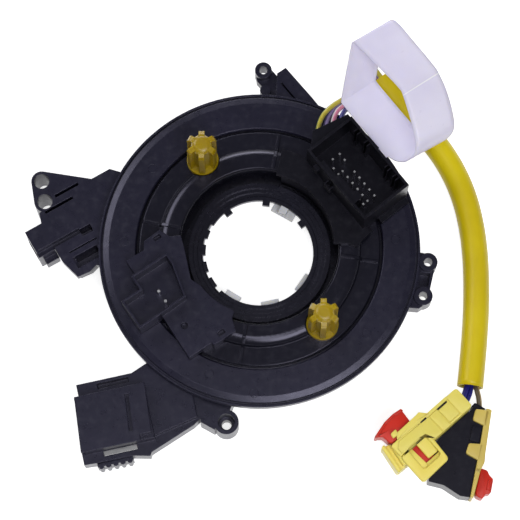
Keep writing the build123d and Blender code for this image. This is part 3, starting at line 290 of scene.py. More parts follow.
@dataclass(frozen=True)
class Finish:
    """A moulded, plated or extruded finish, with its relief, depth and edge radius in metres."""

    scatter: ClassVar[Colour] = (1.0, 0.8, 0.4)

    name: str
    tone: Colour
    worn: Colour
    roughness: float = 0.3
    spread: float = 0.15
    dust: float = 0.0
    relief: float = 0.00001
    metallic: float = 0.0
    ior: float = 1.5
    coat: float = 0.0
    coat_roughness: float = 0.1
    softness: float = 0.0
    depth: float = 0.002
    edge_radius: float = 0.0
    tint: Colour = (1.0, 1.0, 1.0)

    def make(self) -> bpy.types.Material:
        """Build the material once.

        Returns:
            The material, its pattern on Object coordinates.
        """
        made = bpy.data.materials.get(self.name)
        if made:
            return made
        material = bpy.data.materials.new(self.name)
        material.use_nodes = True
        work = Wiring(material.node_tree)
        shader = material.node_tree.nodes["Principled BSDF"]
        surface_values = {
            "Metallic": self.metallic,
            "IOR": self.ior,
            "Specular Tint": (*self.tint, 1.0),
            "Coat Weight": self.coat,
            "Coat Roughness": self.coat_roughness,
            "Subsurface Weight": self.softness,
            "Subsurface Radius": self.scatter,
            "Subsurface Scale": self.depth,
        }
        fill(shader, surface_values)
        skin_values = {
            "Tone": (*self.tone, 1.0),
            "Worn Tone": (*self.worn, 1.0),
            "Dust": self.dust,
            "Polish": self.roughness,
            "Spread": self.spread,
        }
        place = work.add("ShaderNodeTexCoord")
        skin = work.add("ShaderNodeGroup", node_tree=MouldedSkin().build())
        fill(skin, skin_values)
        work.join(place.outputs["Object"], skin.inputs["Vector"])
        work.join(skin.outputs["Colour"], shader.inputs["Base Color"])
        work.join(skin.outputs["Roughness"], shader.inputs["Roughness"])
        bump = work.add("ShaderNodeBump")
        fill(bump, {"Strength": 1.0, "Distance": self.relief})
        work.join(skin.outputs["Height"], bump.inputs["Height"])
        if self.edge_radius:
            round_over = work.add("ShaderNodeBevel", samples=4)
            fill(round_over, {"Radius": self.edge_radius})
            work.join(round_over.outputs["Normal"], bump.inputs["Normal"])
        work.join(bump.outputs["Normal"], shader.inputs["Normal"])
        self.extend(work, shader, place)
        return material

    def extend(self, work: Wiring, shader: bpy.types.Node, place: bpy.types.Node) -> None:
        """Leave room for a finish that adds to the moulded skin."""


@dataclass(frozen=True)
class StripedInsulation(Finish):
    """Wire insulation with a thin stripe of a second colour along it.

    The stripe is where the wire's own UV, once round the section, lies in a narrow band near its top.
    """

    spread: float = 0.2
    stripe: Colour = (0.8, 0.8, 0.8)
    share: float = 0.28
    middle: float = 0.82

    def extend(self, work: Wiring, shader: bpy.types.Node, place: bpy.types.Node) -> None:
        """Lay the stripe over the insulation's tone.

        Args:
            work: The material's wiring.
            shader: The surface shader.
            place: The texture coordinates.
        """
        base = shader.inputs["Base Color"].links[0].from_socket
        around = work.part(place.outputs["UV"], "Y")
        apart = work.math("ABSOLUTE", work.math("SUBTRACT", around, self.middle))
        band = work.math("LESS_THAN", apart, self.share / 2)
        work.join(work.mix(band, base, self.stripe), shader.inputs["Base Color"])


@dataclass(frozen=True)
class MilkyFilm(Finish):
    """Thin polypropylene film that lets a little of what is behind it through.

    The cover varies in slow clouds, and a shadow takes only the shade's part of it. The crease is where
    UV runs along the fold, which wanders a little, and a painted white highlight lies over its width.
    """

    cover: float = 0.93
    thinner: float = 0.06
    thicker: float = 0.04
    cloud_scale: float = 60.0
    shade: float = 0.45
    crease: float = 0.555
    crease_wander: float = 0.002
    crease_width: float = 0.004

    def extend(self, work: Wiring, shader: bpy.types.Node, place: bpy.types.Node) -> None:
        """Vary how much shows through, in slow clouds, and paint a white highlight along the crease.

        Args:
            work: The material's wiring.
            shader: The surface shader.
            place: The texture coordinates.
        """
        cloud = work.noise(place.outputs["Object"], self.cloud_scale, 2.0, 0.5)
        cover = work.ramp(cloud, 0.3, 0.7, self.cover - self.thinner, self.cover + self.thicker)
        rays = work.add("ShaderNodeLightPath")
        lit = work.ramp(rays.outputs["Is Shadow Ray"], 0.0, 1.0, 1.0, self.shade)
        work.join(work.math("MULTIPLY", cover, lit), shader.inputs["Alpha"])
        base = shader.inputs["Base Color"].links[0].from_socket
        around = work.part(place.outputs["UV"], "Y")
        fold = work.ramp(cloud, 0.3, 0.7, self.crease - self.crease_wander, self.crease + self.crease_wander)
        apart = work.math("ABSOLUTE", work.math("SUBTRACT", around, fold))
        # Painted highlight: a band along the crease is whitened in the colour, standing in for the light's
        # glint on the fold.
        crease_highlight = work.ramp(apart, 0.0, self.crease_width, 1.0, 0.0)
        work.join(work.mix(crease_highlight, base, (1.0, 1.0, 1.0)), shader.inputs["Base Color"])


class Palette:
    """Every finish of the part."""

    BLACK = Finish(
        "black moulding",
        linear(18, 18, 32),
        linear(24, 23, 39),
        roughness=0.3,
        spread=0.2,
        dust=0.03,
        relief=0.000012,
        edge_radius=0.00035,
        tint=COOL_SHEEN,
    )
    SATIN_HUB = Finish(
        "satin hub moulding",
        linear(12, 12, 21),
        linear(17, 17, 27),
        roughness=0.2,
        dust=0.02,
        edge_radius=0.00035,
        tint=COOL_SHEEN,
    )
    SLEEVE_BLACK = Finish(
        "glossy sleeve moulding",
        linear(10, 10, 18),
        linear(15, 15, 26),
        roughness=0.26,
        spread=0.2,
        edge_radius=0.0003,
        tint=COOL_SHEEN,
    )
    DEEP_BLACK = Finish(
        "deep black moulding",
        linear(9, 9, 14),
        linear(14, 14, 20),
        roughness=0.3,
        dust=0.02,
        ior=1.36,
        edge_radius=0.0003,
        tint=COOL_SHEEN,
    )
    NATURAL = Finish(
        "natural acetal",
        linear(214, 214, 218),
        linear(196, 197, 203),
        roughness=0.4,
        spread=0.2,
        softness=0.3,
    )
    SHEET = Finish("slippery sheet", linear(222, 222, 226), linear(205, 205, 212), roughness=0.35, spread=0.2)
    RIBBON = Finish(
        "amber ribbon", linear(176, 118, 58), linear(196, 136, 70), roughness=0.3, spread=0.2, coat=0.3
    )
    CAP = Finish(
        "yellow cap",
        linear(166, 141, 4),
        linear(148, 122, 4),
        roughness=0.3,
        spread=0.2,
        softness=0.4,
        depth=0.003,
        edge_radius=0.0003,
    )
    SLEEVING = Finish(
        "yellow sleeving",
        linear(222, 200, 20),
        linear(208, 184, 16),
        roughness=0.36,
        relief=0.00002,
        ior=1.38,
        softness=0.2,
    )
    PALE = Finish(
        "pale yellow moulding",
        linear(243, 226, 112),
        linear(236, 216, 98),
        roughness=0.38,
        spread=0.2,
        softness=0.2,
        edge_radius=0.0003,
    )
    TAN = Finish(
        "tan moulding",
        linear(212, 190, 96),
        linear(200, 176, 84),
        roughness=0.4,
        spread=0.2,
        softness=0.1,
        edge_radius=0.0003,
    )
    RED = Finish(
        "red moulding",
        linear(212, 44, 26),
        linear(198, 36, 20),
        roughness=0.36,
        spread=0.2,
        ior=1.4,
        softness=0.1,
        edge_radius=0.0003,
    )
    PIN = Finish(
        "tinned contact",
        linear(214, 214, 220),
        linear(188, 188, 196),
        roughness=0.25,
        spread=0.2,
        metallic=1.0,
    )
    FILM = MilkyFilm("milky film", linear(228, 224, 244), linear(218, 213, 237), roughness=0.3, softness=0.2)
    GREEN = StripedInsulation(
        "green insulation", linear(82, 112, 40), linear(72, 102, 34), stripe=linear(188, 174, 62), share=0.4
    )
    VIOLET = StripedInsulation(
        "violet insulation", linear(66, 44, 116), linear(58, 38, 102), stripe=linear(140, 124, 172)
    )
    WHITE = StripedInsulation(
        "white insulation", linear(224, 216, 222), linear(210, 200, 208), stripe=linear(206, 120, 150)
    )
    BLUE = StripedInsulation(
        "blue insulation", linear(34, 36, 150), linear(28, 28, 126), stripe=linear(30, 30, 110)
    )
    BUFF = StripedInsulation(
        "buff insulation",
        linear(176, 152, 104),
        linear(160, 136, 92),
        roughness=0.35,
        stripe=linear(90, 78, 60),
    )


def dress(finish: Finish, *nodes: str) -> None:
    """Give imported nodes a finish.

    Args:
        finish: What they are made of.
        *nodes: The nodes' names.
    """
    for name in nodes:
        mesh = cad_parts[name].data
        mesh.materials.clear()
        mesh.materials.append(finish.make())
        log.info("dressed %s in %s", name, finish.name)


def surface(name: str, grids: list[np.ndarray], finish: Finish, body: Body) -> bpy.types.Object:
    """Turn grids of points into one smooth mesh piece that rides on a body.

    Quads join each point with the next along both ways of a grid, and the second way closes on itself. UV
    runs from 0 to 1 both ways of each grid.

    Args:
        name: The piece's name.
        grids: Points of each closed skin, rows by columns by 3, in metres.
        finish: What it is made of.
        body: What it rides on.

    Returns:
        The piece.
    """
    corners, unwrapped, first = [], [], 0
    for grid in grids:
        rows, columns = grid.shape[:2]
        row, column = np.meshgrid(np.arange(rows - 1), np.arange(columns), indexing="ij")
        here, after = row * columns + column, row * columns + (column + 1) % columns
        corners.append(first + np.stack([here, after, after + columns, here + columns], -1).reshape(-1, 4))
        along = np.stack([row, row, row + 1, row + 1], -1).reshape(-1, 4) / (rows - 1)
        around = np.stack([column, column + 1, column + 1, column], -1).reshape(-1, 4) / columns
        unwrapped.append(np.stack([along, around], -1))
        first += rows * columns
    quads = np.concatenate(corners)
    mesh = bpy.data.meshes.new(name)
    mesh.from_pydata(np.concatenate([grid.reshape(-1, 3) for grid in grids]).tolist(), [], quads.tolist())
    mesh.polygons.foreach_set("use_smooth", np.ones(len(quads), bool))
    ways = mesh.uv_layers.new(name="UVMap")
    ways.data.foreach_set("uv", np.concatenate(unwrapped).astype(np.float32).ravel())
    mesh.materials.append(finish.make())
    mesh.update()
    piece = bpy.data.objects.new(name, mesh)
    bpy.context.scene.collection.objects.link(piece)
    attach(piece, body.value)
    log.info("made %s: %d faces", name, len(quads))
    return piece


@dataclass(frozen=True)
class Seat:
    """Where a sub-assembly's own frame lies, by angle, turn and radius about the part's axis."""

    angle: float
    turn: float
    radius: float

    def place(self, points: np.ndarray) -> np.ndarray:
        """Move points from the seat's frame to the part's.

        Args:
            points: Points with their last axis x, y and z in millimetres.

        Returns:
            The points in metres.
        """
        angle, turn = math.radians(self.angle), math.radians(self.turn)
        origin = self.radius * np.array([math.cos(angle), math.sin(angle)])
        right, back = np.array([math.cos(turn), math.sin(turn)]), np.array([-math.sin(turn), math.cos(turn)])
        flat = origin + points[..., :1] * right + points[..., 1:2] * back
        return np.concatenate([flat, points[..., 2:]], -1) / MM_PER_M


def winding(outline: np.ndarray) -> float:
    """Find twice the area inside a closed outline, above zero where it runs anticlockwise.

    Args:
        outline: Its points in turn.

    Returns:
        Twice the signed area.
    """
    across, up = outline.T
    return float(np.sum(across * np.roll(up, -1) - up * np.roll(across, -1)))


@dataclass(frozen=True)
class Plate:
    """Flat moulded block with rounded corners and softened rims, and a window through it if it has one."""

    side_share: ClassVar[float] = 0.45
    rim_steps: ClassVar[int] = 4
    speck: ClassVar[float] = 0.02

    outline: Outline
    low: float
    high: float
    corner: float = 0.6
    rim: float = 0.25
    window: Outline = ()
    steps: int = 6

    def rounded(self, corners: Outline) -> tuple[np.ndarray, np.ndarray]:
        """Round an outline's corners with parabolas.

        Args:
            corners: The outline's corners in turn.

        Returns:
            The points and their outward directions.
        """
        here = np.array(corners)
        sides = [np.roll(here, 1, 0) - here, np.roll(here, -1, 0) - here]
        sizes = [np.linalg.norm(side, axis=1, keepdims=True) for side in sides]
        start, end = (
            here + side / size * np.minimum(self.corner, size * self.side_share)
            for side, size in zip(sides, sizes)
        )
        t = np.linspace(0, 1, self.steps)[None, :, None]
        curve = (1 - t) ** 2 * start[:, None] + 2 * t * (1 - t) * here[:, None] + t**2 * end[:, None]
        points = curve.reshape(-1, 2)
        ahead = np.roll(points, -1, 0) - np.roll(points, 1, 0)
        ahead /= np.linalg.norm(ahead, axis=1, keepdims=True)
        out = np.stack([ahead[:, 1], -ahead[:, 0]], -1)
        return points, out * np.sign(winding(points))

    def grid(self) -> np.ndarray:
        """Lay the skin's rows from the underside up the side and over the top.

        Returns:
            Rows by columns by 3, in millimetres, closed but for a speck at the middle of each face.
        """
        points, out = self.rounded(self.outline)
        bend = np.radians(np.linspace(0, 90, self.rim_steps))
        near, far = self.rim * (1 - np.cos(bend)), self.rim * (1 - np.sin(bend))
        inset = np.concatenate([far, near])
        height = np.concatenate([self.low + near, self.high - far])
        rows = [np.column_stack([points - out * i, np.full(len(points), h)]) for i, h in zip(inset, height)]
        if self.window:
            hole, away = self.rounded(self.window)
            wall = [np.column_stack([hole + away * i, np.full(len(hole), h)]) for i, h in zip(inset, height)]
            rows = rows + wall[::-1] + rows[:1]
        else:
            middle = points.mean(0) + (points - points.mean(0)) * self.speck
            under, over = (np.column_stack([middle, np.full(len(points), h)]) for h in (self.low, self.high))
            rows = [under] + rows + [over]
        skin = np.array(rows)
        return skin if winding(points) > 0 else skin[:, ::-1]


def moulding(
    name: str, seat: Seat, plates: tuple[Plate, ...], finish: Finish, body: Body, node: str
) -> bpy.types.Object:
    """Build one rigid piece from plates in a seat's frame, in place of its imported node.

    Args:
        name: The piece's name.
        seat: The frame that the plates are given in.
        plates: Its plates, which run into each other.
        finish: What it is made of.
        body: What it rides on.
        node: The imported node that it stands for.

    Returns:
        The piece.
    """
    piece = surface(name, [seat.place(plate.grid()) for plate in plates], finish, body)
    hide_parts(node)
    return piece


@dataclass
class Cord:
    """A tube that follows a smooth line through its route's points, which are in millimetres."""

    resolution: ClassVar[int] = 14
    dome_steps: ClassVar[int] = 5
    dome_share: ClassVar[float] = 0.5
    speck: ClassVar[float] = 0.02

    name: str
    route: tuple[Point, ...]
    radius: float
    finish: Finish
    slot: str
    body: Body
    ending: Ending = Ending.DOMED
    wall: float = 0.0006
    sides: int = 24
    line: np.ndarray = field(init=False)

    def centreline(self) -> np.ndarray:
        """Read points along a NURBS line whose control points are the route.

        Returns:
            The points, in metres.
        """
        curve = bpy.data.curves.new(self.name + "_line", "CURVE")
        curve.dimensions = "3D"
        curve.resolution_u = self.resolution
        spline = curve.splines.new("NURBS")
        spline.points.add(len(self.route) - 1)
        flat = np.concatenate([np.array(self.route) / MM_PER_M, np.ones((len(self.route), 1))], axis=1)
        spline.points.foreach_set("co", flat.astype(np.float32).ravel())
        spline.order_u = 3
        spline.use_endpoint_u = True
        holder = bpy.data.objects.new(self.name + "_line", curve)
        mesh = bpy.data.meshes.new_from_object(holder)
        points = np.zeros(len(mesh.vertices) * 3, np.float32)
        mesh.vertices.foreach_get("co", points)
        bpy.data.objects.remove(holder)
        bpy.data.meshes.remove(mesh)
        return points.reshape(-1, 3).astype(float)

    def bored(self) -> tuple[np.ndarray, np.ndarray, np.ndarray]:
        """Order the rings of an open tube: along the skin, over the rim and back through the bore.

        Returns:
            Each ring's point on the line, its radius and its push along the line.
        """
        depth = np.arange(len(self.line))
        order = np.concatenate([depth, depth[::-1], depth[:1]])
        skin, bore = np.full(len(depth), self.radius), np.full(len(depth), self.radius - self.wall)
        return order, np.concatenate([skin, bore, skin[:1]]), np.zeros(len(order))

    def domed(self) -> tuple[np.ndarray, np.ndarray, np.ndarray]:
        """Order the rings of a solid tube, whose ends shrink to a point over a quarter circle.

        Returns:
            Each ring's point on the line, its radius and its push along the line.
        """
        last = len(self.line) - 1
        bend = np.radians(np.linspace(0, 90, self.dome_steps))
        head, tail = np.zeros(self.dome_steps, int), np.full(self.dome_steps, last)
        order = np.concatenate([head, np.arange(1, last), tail])
        radii = np.concatenate([np.sin(bend), np.ones(last - 1), np.cos(bend)]) * self.radius
        push = np.concatenate([-np.cos(bend), np.zeros(last - 1), np.sin(bend)]) * self.radius
        return order, np.maximum(radii, self.radius * self.speck), push * self.dome_share

    def build(self) -> bpy.types.Object:
        """Sweep the section along the line.

        At each point of the line the section is a circle in the plane square to it, set out from a level
        sideways direction and its normal.

        Returns:
            The tube.
        """
        self.line = self.centreline()
        step = np.gradient(self.line, axis=0)
        ahead = step / np.linalg.norm(step, axis=1, keepdims=True)
        side = np.cross(ahead, (0.0, 0.0, 1.0))
        side /= np.linalg.norm(side, axis=1, keepdims=True)
        over = np.cross(side, ahead)
        order, radii, push = self.bored() if self.ending is Ending.OPEN_BORE else self.domed()
        turn = np.linspace(0, 2 * math.pi, self.sides, endpoint=False)[None, :, None]
        ring = np.cos(turn) * side[order][:, None] - np.sin(turn) * over[order][:, None]
        centres = self.line[order] + ahead[order] * push[:, None]
        grid = centres[:, None] + radii[:, None, None] * ring
        return surface(self.name, [grid], self.finish, self.body)


@dataclass
class FixedSide:
    """Housing tub, cover ring and column-side connectors."""

    mark_places: Outline = (
        (-44.2, 2.0), (-35.1, 26.7), (-16.2, -41.7), (-1.7, -48.0), (34.7, -28.5), (44.4, 2.8),
    )
    mark_radius: float = 1.6
    mark_line: float = 0.2
    mark_height: float = 0.06
    mark_root: float = 0.2
    mark_sides: int = 12

    def ejector_marks(self) -> bpy.types.Object:
        """Raise the faint rings that the ejector pins left on the cover's face.

        Returns:
            The rings, as one piece.
        """
        face = float(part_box("cover_ring")[1][2]) * MM_PER_M
        turn = np.radians(np.arange(self.mark_sides) * (360 / self.mark_sides))
        round_way = np.stack([np.cos(turn), np.sin(turn)], -1)
        low, high = face - self.mark_root, face + self.mark_height
        rings = []
        for place in self.mark_places:
            outer, inner = (
                tuple(map(tuple, np.array(place) + radius * round_way))
                for radius in (self.mark_radius, self.mark_radius - self.mark_line)
            )
            ring = Plate(outer, low, high, corner=0.4, rim=0.03, window=inner, steps=3)
            rings.append(ring.grid() / MM_PER_M)
        return surface("ejector_marks", rings, Palette.BLACK, Body.FIXED)

    def dress(self) -> None:
        """Give the fixed pieces their finishes."""
        self.ejector_marks()
        dress(Palette.BLACK, "stator_housing", "cover_ring", "connector_lid", "connector_latch")
        dress(Palette.PIN, "side_pins", "harness_pins")
        dress(Palette.SHEET, "lower_sheet")
        dress(Palette.RIBBON, "ribbon_cable")
        dress(Palette.NATURAL, "outer_ribbon_block")


@dataclass
class TransitStrap:
    """Closed band of thin film on the switch connector, open at both slanted rims.

    Each rim is a smooth closed line in its own plane, which leans back as it rises. A rim is given by the
    corners of its outline as pairs of sideways place and height, and the film is the ruled skin between
    the two rims. All places are in the switch connector's own frame, in millimetres.
    """

    seat: Seat = Seat(35.55, -51.5, 38.96)
    near_rim: Outline = (
        (-23.0, 25.4), (-22.4, 25.0), (-12.0, 25.0), (-1.0, 25.1), (4.4, 26.0), (7.6, 28.6),
        (7.2, 32.2), (3.0, 34.8), (-5.0, 37.9), (-9.6, 39.5), (-10.6, 39.7), (-15.0, 39.6),
        (-24.0, 38.9), (-32.6, 38.35), (-33.5, 38.1), (-33.3, 37.6), (-28.6, 32.0),
    )
    far_rim: Outline = (
        (-22.0, 24.4), (-21.4, 24.0), (-12.0, 24.0), (-3.0, 24.0), (4.0, 24.6), (9.2, 26.6),
        (9.6, 31.5), (6.0, 34.0), (-2.0, 37.2), (-8.6, 38.6), (-9.8, 38.7), (-15.0, 38.8),
        (-22.0, 38.8), (-29.2, 38.9), (-31.8, 38.1), (-31.7, 36.2), (-27.6, 31.0),
    )
    near_depth: float = 9.5
    far_depth: float = 24.3
    level: float = 23.0
    film: float = 0.35
    steps: int = 8
    rows: int = 10
    tabs: tuple[tuple[float, float], ...] = ((-15.5, -12.5), (-2.0, 1.0))
    tab_reach: float = 2.3
    tab_top: float = 26.0

    def rim(self, corners: Outline, depth: float) -> np.ndarray:
        """Round a rim's corners into one closed line and lean it back.

        Each corner rules a parabola between the middles of the two sides that meet there.

        Args:
            corners: Sideways place and height of each corner.
            depth: How far in the rim lies at the level.

        Returns:
            The rim's points.
        """
        here = np.array(corners)
        before, after = (np.roll(here, 1, 0) + here) / 2, (np.roll(here, -1, 0) + here) / 2
        t = np.arange(self.steps)[None, :, None] / self.steps
        curve = (1 - t) ** 2 * before[:, None] + 2 * t * (1 - t) * here[:, None] + t**2 * after[:, None]
        across, height = curve.reshape(-1, 2).T
        return np.stack([across, depth + height - self.level, height], -1)

    def build(self) -> bpy.types.Object:
        """Rule the film between its rims, with its thickness and its two tabs.

        Returns:
            The band.
        """
        near = self.rim(self.near_rim, self.near_depth)
        far = self.rim(self.far_rim, self.far_depth)
        for low, high in self.tabs:
            tongue = (near[:, 0] > low) & (near[:, 0] < high) & (near[:, 2] < self.tab_top)
            near[tongue, 1] -= self.tab_reach
        share = np.linspace(0, 1, self.rows)[:, None, None]
        outer = (1 - share) * near + share * far
        along = np.roll(outer, -1, 1) - np.roll(outer, 1, 1)
        inward = np.cross(along, (far - near)[None])
        inward /= np.linalg.norm(inward, axis=2, keepdims=True)
        inner = outer + inward * self.film
        grid = np.concatenate([inner, outer[::-1], inner[:1]])
        band = surface("transit_band", [self.seat.place(grid)], Palette.FILM, Body.ROTOR)
        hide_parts("transit_strap")
        return band


@dataclass
class TurningSide:
    """Rotor, hub sleeve, connectors, caps and the transit band."""

    def dress(self) -> None:
        """Give the turning pieces their finishes."""
        dress(Palette.SATIN_HUB, "rotor_disc")
        dress(Palette.SLEEVE_BLACK, "hub_sleeve")
        dress(Palette.NATURAL, "drive_ring", "inner_ribbon_block")
        dress(Palette.SHEET, "upper_sheet")
        dress(Palette.DEEP_BLACK, "switch_connector")
        dress(Palette.BLACK, "horn_socket")
        dress(Palette.PIN, "switch_pins", "horn_pins")
        dress(Palette.CAP, "upper_peg_cap", "lower_peg_cap")
        TransitStrap().build()


@dataclass
class PalePlug:
    """Pale yellow plug of two shells with a latch frame and a front rail, and its red sliding lock."""

    seat: Seat = Seat(-35.92, 221.6, 81.99)
    shells: tuple[Plate, ...] = (
        Plate(((0.0, -4.0), (28.5, -4.0), (28.5, 4.0), (0.0, 4.0)), 0.0, 9.2, 1.2, 0.3),
        Plate(((0.2, -3.8), (19.5, -3.8), (19.5, 3.8), (0.2, 3.8)), 9.0, 11.3, 0.8, 0.05),
        Plate(((27.4, -3.8), (28.3, -3.8), (28.3, 3.8), (27.4, 3.8)), 9.0, 11.3, 0.3, 0.05),
        Plate(((0.0, -4.0), (17.9, -4.0), (17.9, 3.9), (0.0, 3.9)), 11.1, 12.7, 1.2, 0.3),
        Plate(((17.0, -4.0), (28.6, -4.0), (28.6, 0.7), (17.0, 0.7)), 11.1, 12.7, 0.5, 0.2),
    )
    panels: tuple[Plate, ...] = (
        Plate(((0.1, -3.9), (4.7, -3.9), (4.7, 3.8), (0.1, 3.8)), 12.2, 13.0, 1.1, 0.2),
        Plate(((4.9, -2.4), (9.3, -2.3), (9.2, 2.9), (4.8, 2.9)), 12.2, 12.95, 0.15, 0.12),
        Plate(((4.5, -4.1), (13.8, -4.1), (13.8, -3.0), (4.5, -3.0)), 12.2, 13.0, 0.2, 0.12),
        Plate(((4.5, 3.1), (9.3, 3.1), (9.3, 3.85), (4.5, 3.85)), 12.2, 12.95, 0.2, 0.12),
        Plate(((9.5, -2.8), (13.0, -2.8), (12.7, 3.8), (9.5, 3.8)), 12.2, 13.0, 0.15, 0.12),
        Plate(
            ((13.2, -2.8), (25.8, -3.3), (27.6, -1.8), (27.6, 0.6), (17.8, 0.6), (16.3, 3.8), (12.9, 3.8)),
            12.2, 13.0, 0.2, 0.12,
        ),
        Plate(
            ((12.2, -3.5), (14.6, -6.2), (15.8, -6.0), (24.6, -5.8), (25.9, -3.9), (16.2, -3.35)),
            11.7, 13.0, 0.35, 0.2,
        ),
        Plate(((23.8, -7.0), (26.1, -6.9), (26.5, -5.2), (24.3, -5.1)), 11.7, 13.0, 0.5, 0.25),
    )
    latch: tuple[Plate, ...] = (
        Plate(
            ((16.6, 0.9), (17.4, 11.6), (28.9, 11.9), (28.8, 0.9)),
            11.0, 12.9, 1.3, 0.4,
            ((18.1, 0.6), (18.3, 8.9), (25.8, 8.9), (25.5, 0.6)),
        ),
        Plate(((18.1, 0.2), (22.2, 0.0), (22.3, 7.1), (18.4, 7.3)), 11.5, 12.85, 0.5, 0.35),
        Plate(((17.6, 7.6), (26.4, 7.6), (26.4, 9.4), (17.6, 9.4)), 11.05, 11.6, 0.2, 0.1),
        Plate(((24.2, 0.2), (26.4, 0.2), (26.4, 8.6), (23.6, 8.6)), 11.05, 11.8, 0.4, 0.1),
    )
    rail: tuple[Plate, ...] = (
        Plate(((27.5, -4.6), (30.6, -5.8), (32.2, 3.8), (27.5, 3.9)), 0.0, 8.8, 1.3, 0.3),
        Plate(((29.6, -6.0), (31.0, -5.8), (32.3, 3.9), (30.9, 4.0)), 3.0, 10.2, 0.6, 0.35),
        Plate(((26.6, -4.3), (28.6, -3.9), (29.7, 3.4), (27.4, 3.9)), 6.0, 11.6, 0.6, 0.4),
    )
    lock_grip: tuple[Plate, ...] = (
        Plate(
            (
                (18.5, -4.3), (17.9, -10.6), (21.0, -11.1), (25.0, -10.9), (30.2, -9.5),
                (28.4, -7.9), (28.2, -5.5), (27.3, -4.3),
            ),
            4.0, 11.2, 0.5, 0.35,
        ),
        Plate(((17.7, -9.9), (17.8, -10.9), (21.0, -11.4), (21.1, -10.5)), 4.0, 11.5, 0.3, 0.25),
        Plate(((20.8, -10.5), (20.8, -11.4), (25.1, -11.2), (25.0, -10.3)), 4.0, 11.5, 0.3, 0.25),
        Plate(((24.7, -10.3), (24.8, -11.2), (30.6, -9.7), (30.0, -8.9)), 4.0, 11.5, 0.3, 0.25),
        Plate(((20.0, -5.0), (27.0, -5.0), (27.0, 8.5), (20.0, 8.5)), 9.6, 10.7, 0.4, 0.2),
    )
    # Painted shade: dark plates sit in the gaps between the top panels, where the slots' shade falls.
    slot_shade_plates: tuple[Plate, ...] = (
        Plate(((5.4, -2.95), (9.6, -3.05), (9.6, -2.45), (5.4, -2.4)), 12.3, 12.85, 0.1, 0.03),
        Plate(((14.0, -3.4), (16.4, -3.45), (16.4, -2.95), (14.0, -2.85)), 12.3, 12.9, 0.1, 0.03),
    )

    def build(self) -> list[bpy.types.Object]:
        """Make the plug, the dark plates painted in as the shade inside its two slots, and its lock.

        Returns:
            The three pieces.
        """
        # The painted shade of the two slots, one dark plate in each gap.
        skins = [self.seat.place(plate.grid()) for plate in self.slot_shade_plates]
        slot_shade_piece = surface("pale_plug_slot_shade", skins, Palette.DEEP_BLACK, Body.FIXED)
        plates = self.shells + self.panels + self.latch + self.rail
        plug = moulding(
            "pale_plug", self.seat, plates, Palette.PALE, Body.FIXED, "airbag_plug"
        )
        grip = moulding(
            "pale_plug_grip",
            self.seat,
            self.lock_grip,
            Palette.RED,
            Body.PLUG_LOCK,
            "airbag_plug_lock",
        )
        return [slot_shade_piece, plug, grip]


@dataclass
class BlackPlug:
    """Tan cover clipped along the black plug's side, and the red lock that slides through both."""

    seat: Seat = Seat(-35.13, 256.0, 87.42)
    cover: tuple[Plate, ...] = (
        Plate(
            (
                (0.6, 2.3), (18.0, 3.3), (21.6, 3.4), (21.6, 4.9), (20.4, 5.1), (18.0, 5.7),
                (15.1, 5.3), (0.7, 4.2),
            ),
            0.0, 10.5, 0.5, 0.25,
        ),
        Plate(((20.4, 3.35), (30.0, 3.7), (30.2, 4.7), (20.4, 5.0)), 5.4, 10.5, 0.35, 0.2),
        Plate(((20.4, 3.35), (30.0, 3.7), (30.2, 4.7), (20.4, 5.0)), 0.0, 2.6, 0.35, 0.2),
        Plate(((28.4, 3.65), (30.0, 3.7), (30.2, 4.7), (28.4, 4.7)), 2.0, 6.0, 0.3, 0.1),
        Plate(((1.7, -1.0), (5.5, -1.1), (6.6, 3.6), (1.0, 3.6)), 9.02, 10.5, 0.7, 0.3),
        Plate(((13.1, -0.6), (16.6, -0.9), (18.0, 3.9), (12.3, 3.9)), 9.02, 10.5, 0.7, 0.3),
    )
    lock_grip: tuple[Plate, ...] = (
        Plate(
            (
                (19.7, 5.1), (19.9, 7.3), (21.2, 8.2), (22.2, 9.8), (26.9, 10.0), (27.6, 8.4),
                (29.3, 7.8), (29.0, 5.8), (28.0, 5.1),
            ),
            1.0, 8.0, 0.6, 0.4,
        ),
        Plate(((22.8, 8.2), (26.2, 8.3), (26.0, 9.4), (23.0, 9.3)), 7.4, 8.5, 0.3, 0.25),
        Plate(((22.0, -2.7), (27.0, -2.7), (27.0, 6.0), (22.0, 6.0)), 3.0, 5.0, 0.4, 0.2),
    )

    def build(self) -> list[bpy.types.Object]:
        """Dress the plug and make its cover and lock.

        Returns:
            The plug, the cover and the lock.
        """
        dress(Palette.DEEP_BLACK, "black_plug")
        cover = moulding(
            "clip_cover", self.seat, self.cover, Palette.TAN, Body.FIXED, "tan_cover"
        )
        grip = moulding(
            "black_plug_grip",
            self.seat,
            self.lock_grip,
            Palette.RED,
            Body.BLACK_LOCK,
            "black_plug_lock",
        )
        return [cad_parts["black_plug"], cover, grip]


@dataclass(frozen=True)
class Strand:
    """One insulated wire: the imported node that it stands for, its route in millimetres and its insulation."""

    node: str
    route: tuple[Point, ...]
    finish: Finish
    slot: str


def in_sleeve(level: float) -> tuple[Point, ...]:
    """Give the route points that take a wire into the sleeve's mouth and on inside it.

    Args:
        level: Height of this stretch.

    Returns:
        The points, in millimetres.
    """
    return tuple((across, back, level) for across, back in ((38.8, 65.18), (41.0, 61.8), (44.5, 56.9)))


